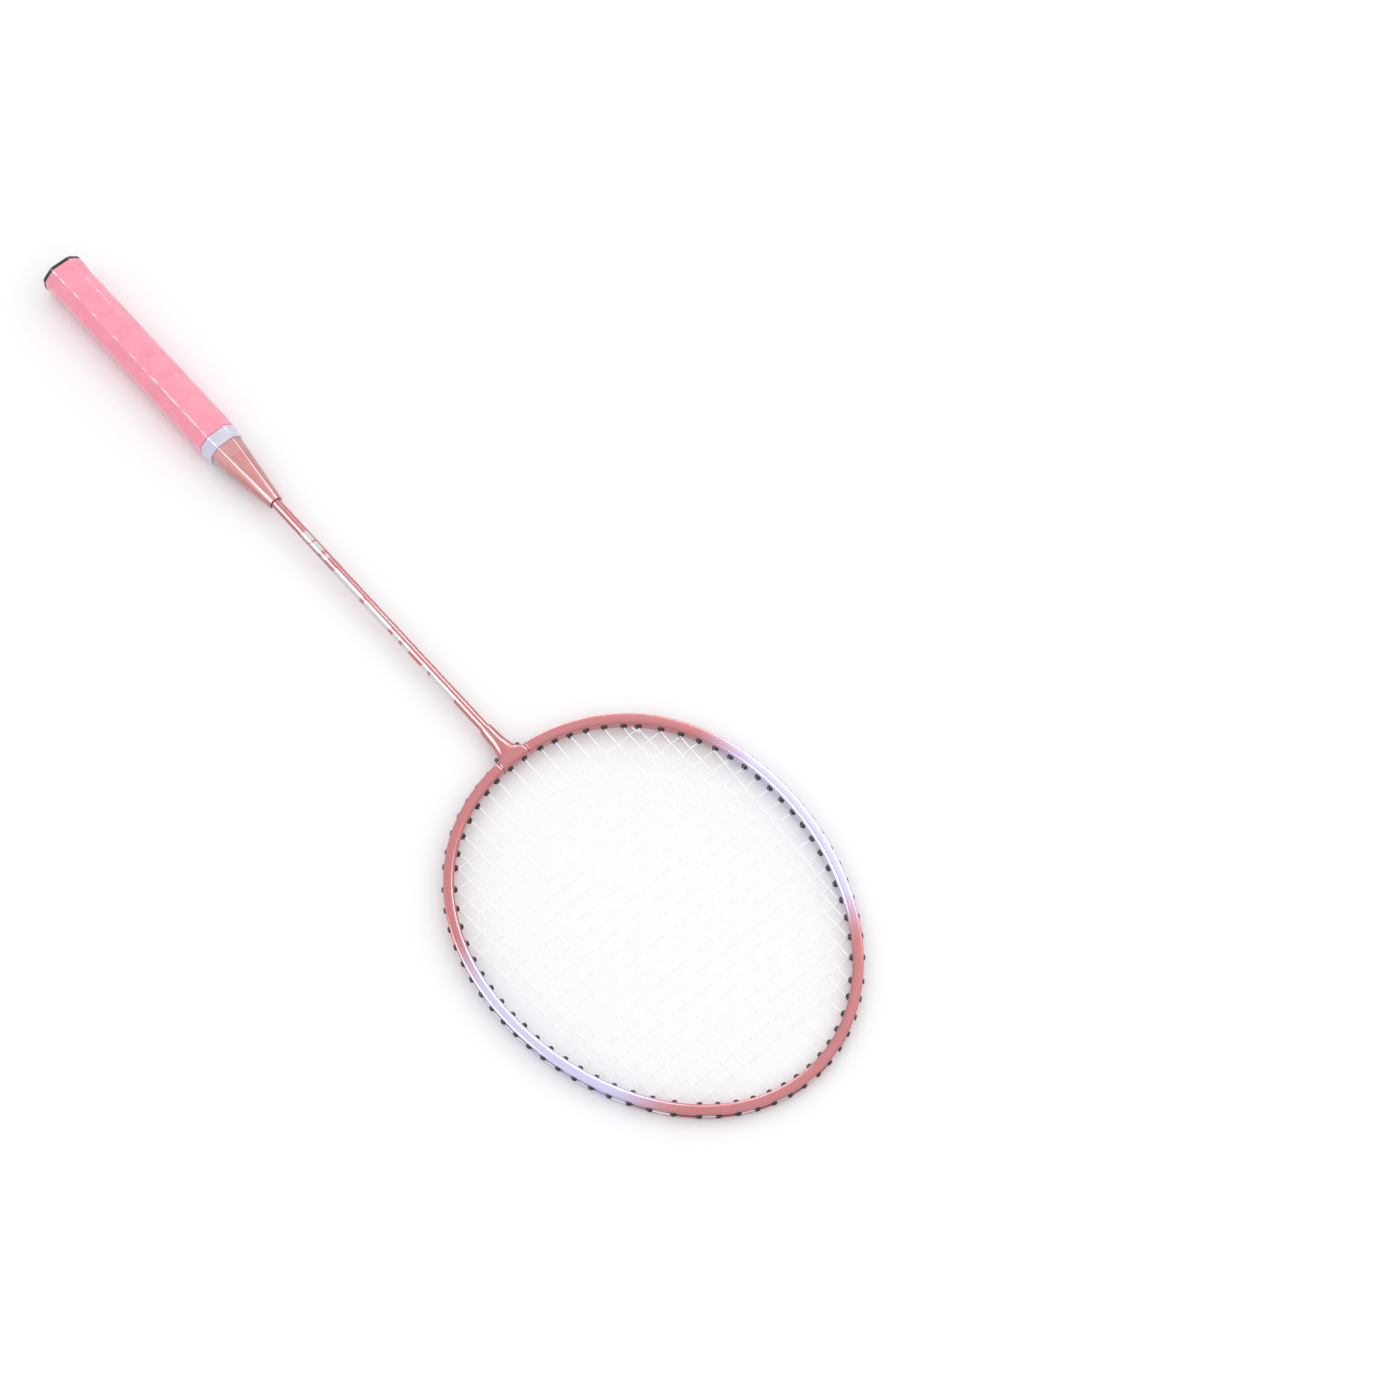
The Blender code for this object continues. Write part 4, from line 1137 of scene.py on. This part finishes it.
def cross_string_path():
    """The crosses: from the throat to the tip, left to right and right to left in turn."""
    throat, tip = np.array([main_holes(n) for n in range(MAINS, 0, -1)]).T
    starts = np.concatenate([MOUTH[throat], (MOUTH[throat] * MIRROR["left"])[::-1]])
    ends = np.concatenate([MOUTH[tip], (MOUTH[tip] * MIRROR["left"])[::-1]])
    path = []
    for row, number in enumerate(range(FIRST_CROSS, LAST_CROSS + 1)):
        start, end = MOUTH[number] * MIRROR["left"], MOUTH[number]
        shares, meets = crossings(start, end, starts, ends)
        signs = np.where((row + np.arange(2 * MAINS)) % 2 == 0, -1.0, 1.0)
        run = woven_run(start, end, shares[meets], signs[meets], -BORE_LEVEL)
        whole = np.concatenate([
            out_of_bore(number, MIRROR["left"], -BORE_LEVEL)[:0:-1], run,
            out_of_bore(number, MIRROR["right"], -BORE_LEVEL)[1:],
        ])
        if row % 2:
            whole = whole[::-1]
        path.append(whole)
        if number < LAST_CROSS:
            mirror = MIRROR["right" if row % 2 == 0 else "left"]
            path.append(groove_walk(number, number + 1, mirror, -BORE_LEVEL))
    return eased(np.concatenate(path))


def build_strings(finish):
    """Both strings, as round cords along their woven paths."""
    main = tube("main_string_woven", main_string_path(), STRING_RADIUS, finish)
    hand_over(main, "white_string", "main_string")
    cross = tube("cross_string_woven", cross_string_path(), STRING_RADIUS, finish)
    hand_over(cross, "white_string", "cross_string")


def build_tie_off(finish):
    """The cross string's end: two tight turns at the first cross's hole, and a short tail."""
    mouth = MOUTH[FIRST_CROSS] * MIRROR["left"]
    inward = -AXIS[FIRST_CROSS] * MIRROR["left"]
    centre = mouth + inward * 1.5 * MM
    t = np.linspace(0, 1, 60)[:, None]
    up = np.array([0, 0, 1])
    side = np.cross(inward, up)
    two_turns = side * np.cos(4 * np.pi * t) + up * np.sin(4 * np.pi * t)
    coil = centre + inward * (t * 1.5 - 0.7) * MM + 0.75 * MM * two_turns
    u = np.linspace(0, 1, 14)[1:, None]
    tail = coil[-1] + np.array([0.9, -3.6, 0.0]) * MM * u + np.array([0, 0, 2.6]) * MM * u ** 0.7
    path = eased(np.concatenate([coil, tail]))
    piece = tube("tie_off_knot", path, 0.36 * MM, finish)
    hand_over(piece, "white_string")


# ---- stage

FLOOR_HALF_SIDE, FLOOR_SLOPE, HOOP_UNDERSIDE = 6.0, 7.0 / 513.0, 4.1 * MM


def build_floor():
    """A plain pale floor under the two places where the racket rests: its grip and its tip.

    It is the plane z = slope * (y - tip) - underside of the hoop.
    """
    s = FLOOR_HALF_SIDE
    reach = np.array([(-s, -s), (s, -s), (s, s), (-s, s)])
    height = FLOOR_SLOPE * (reach[:, 1] - TIP_Y) - HOOP_UNDERSIDE
    finish = Finish("pale_floor", Base_Color=(0.925, 0.925, 0.935), Roughness=0.9)
    finish.set(Specular_IOR_Level=0.1)
    corners = np.column_stack([reach, height])
    add_mesh("floor", corners, [(0, 1, 2, 3)], finish.material, smooth=False)


def build_sky():
    """White light from all round, brighter overhead: 0.60 at the horizon to 1.16 above."""
    world = bpy.data.worlds.new("studio")
    world.use_nodes = True
    nodes, links = world.node_tree.nodes, world.node_tree.links
    background = nodes["Background"]
    background.inputs["Color"].default_value = (1.0, 1.0, 1.0, 1.0)
    place = nodes.new("ShaderNodeTexCoord")
    split = nodes.new("ShaderNodeSeparateXYZ")
    rise = nodes.new("ShaderNodeMapRange")
    rise.interpolation_type = "SMOOTHSTEP"
    for key, value in (
        ("From Min", 0.0), ("From Max", 0.75), ("To Min", 0.60), ("To Max", 1.16),
    ):
        rise.inputs[key].default_value = value
    links.new(place.outputs["Generated"], split.inputs[0])
    links.new(split.outputs["Z"], rise.inputs["Value"])
    links.new(rise.outputs[0], background.inputs["Strength"])
    bpy.context.scene.world = world


def softbox(name, centre, aim, width, length, radiance, gloss=True):
    """An oblong lamp at a centre, facing its aim, with its length turned along the racket.

    Its power is radiance * pi * area. A gloss lamp is seen only in reflections, and casts
    no light or shadow of its own. Any other lamp is not seen in them.
    """
    data = bpy.data.lights.new(name, "AREA")
    data.shape = "RECTANGLE"
    data.size, data.size_y = width, length
    data.energy = radiance * math.pi * width * length
    lamp = bpy.data.objects.new(name, data)
    bpy.context.collection.objects.link(lamp)
    lamp.visible_camera = False
    lamp.visible_diffuse = not gloss
    lamp.visible_glossy = gloss
    back = (Vector(centre) - Vector(aim)).normalized()
    along = Vector((0.0, 1.0, 0.0))
    along = (along - back * along.dot(back)).normalized()
    turn = Matrix((along.cross(back), along, back)).transposed().to_4x4()
    lamp.matrix_world = Matrix.Translation(centre) @ turn


def build_stage():
    """The floor, the sky and the lamps."""
    build_floor()
    build_sky()
    softbox("key_softbox", (-1.08, 0.12, 1.24), (0.0, 0.35, 0.0), 0.50, 0.94, 10.0)
    softbox("side_softbox", (1.15, -0.22, 1.20), (0.0, 0.15, 0.0), 1.00, 1.07, 9.0)
    softbox("end_softbox", (-0.90, -1.10, 0.75), (-0.05, 0.45, 0.0), 0.55, 0.90, 9.0)
    softbox("side_fill", (-1.30, 0.55, 1.00), (0.0, 0.45, 0.0), 1.20, 1.20, 0.5, gloss=False)


bpy.context.scene.view_settings.view_transform = "Standard"

rose_paint = make_rose_paint()
black_nylon = make_black("black_nylon", 0.32, 300.0)
white_string = make_string()

build_grip_wrap(make_wrap())
build_finishing_band(make_tape())
build_grip_film(make_film())
build_handle_cone(make_pearl_plastic())
build_butt_cap(make_black("black_cap_plastic", 0.22, 120.0))
build_shaft(make_shaft_paint())
build_t_joint(rose_paint)
build_hoop(make_hoop_paint())
build_grommets(black_nylon)
build_strings(white_string)
build_tie_off(white_string)

# the wooden core keeps the frame's own shape
wood = make_wood()
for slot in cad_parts["handle_core"].material_slots:
    slot.link = "OBJECT"
    slot.material = wood

build_stage()
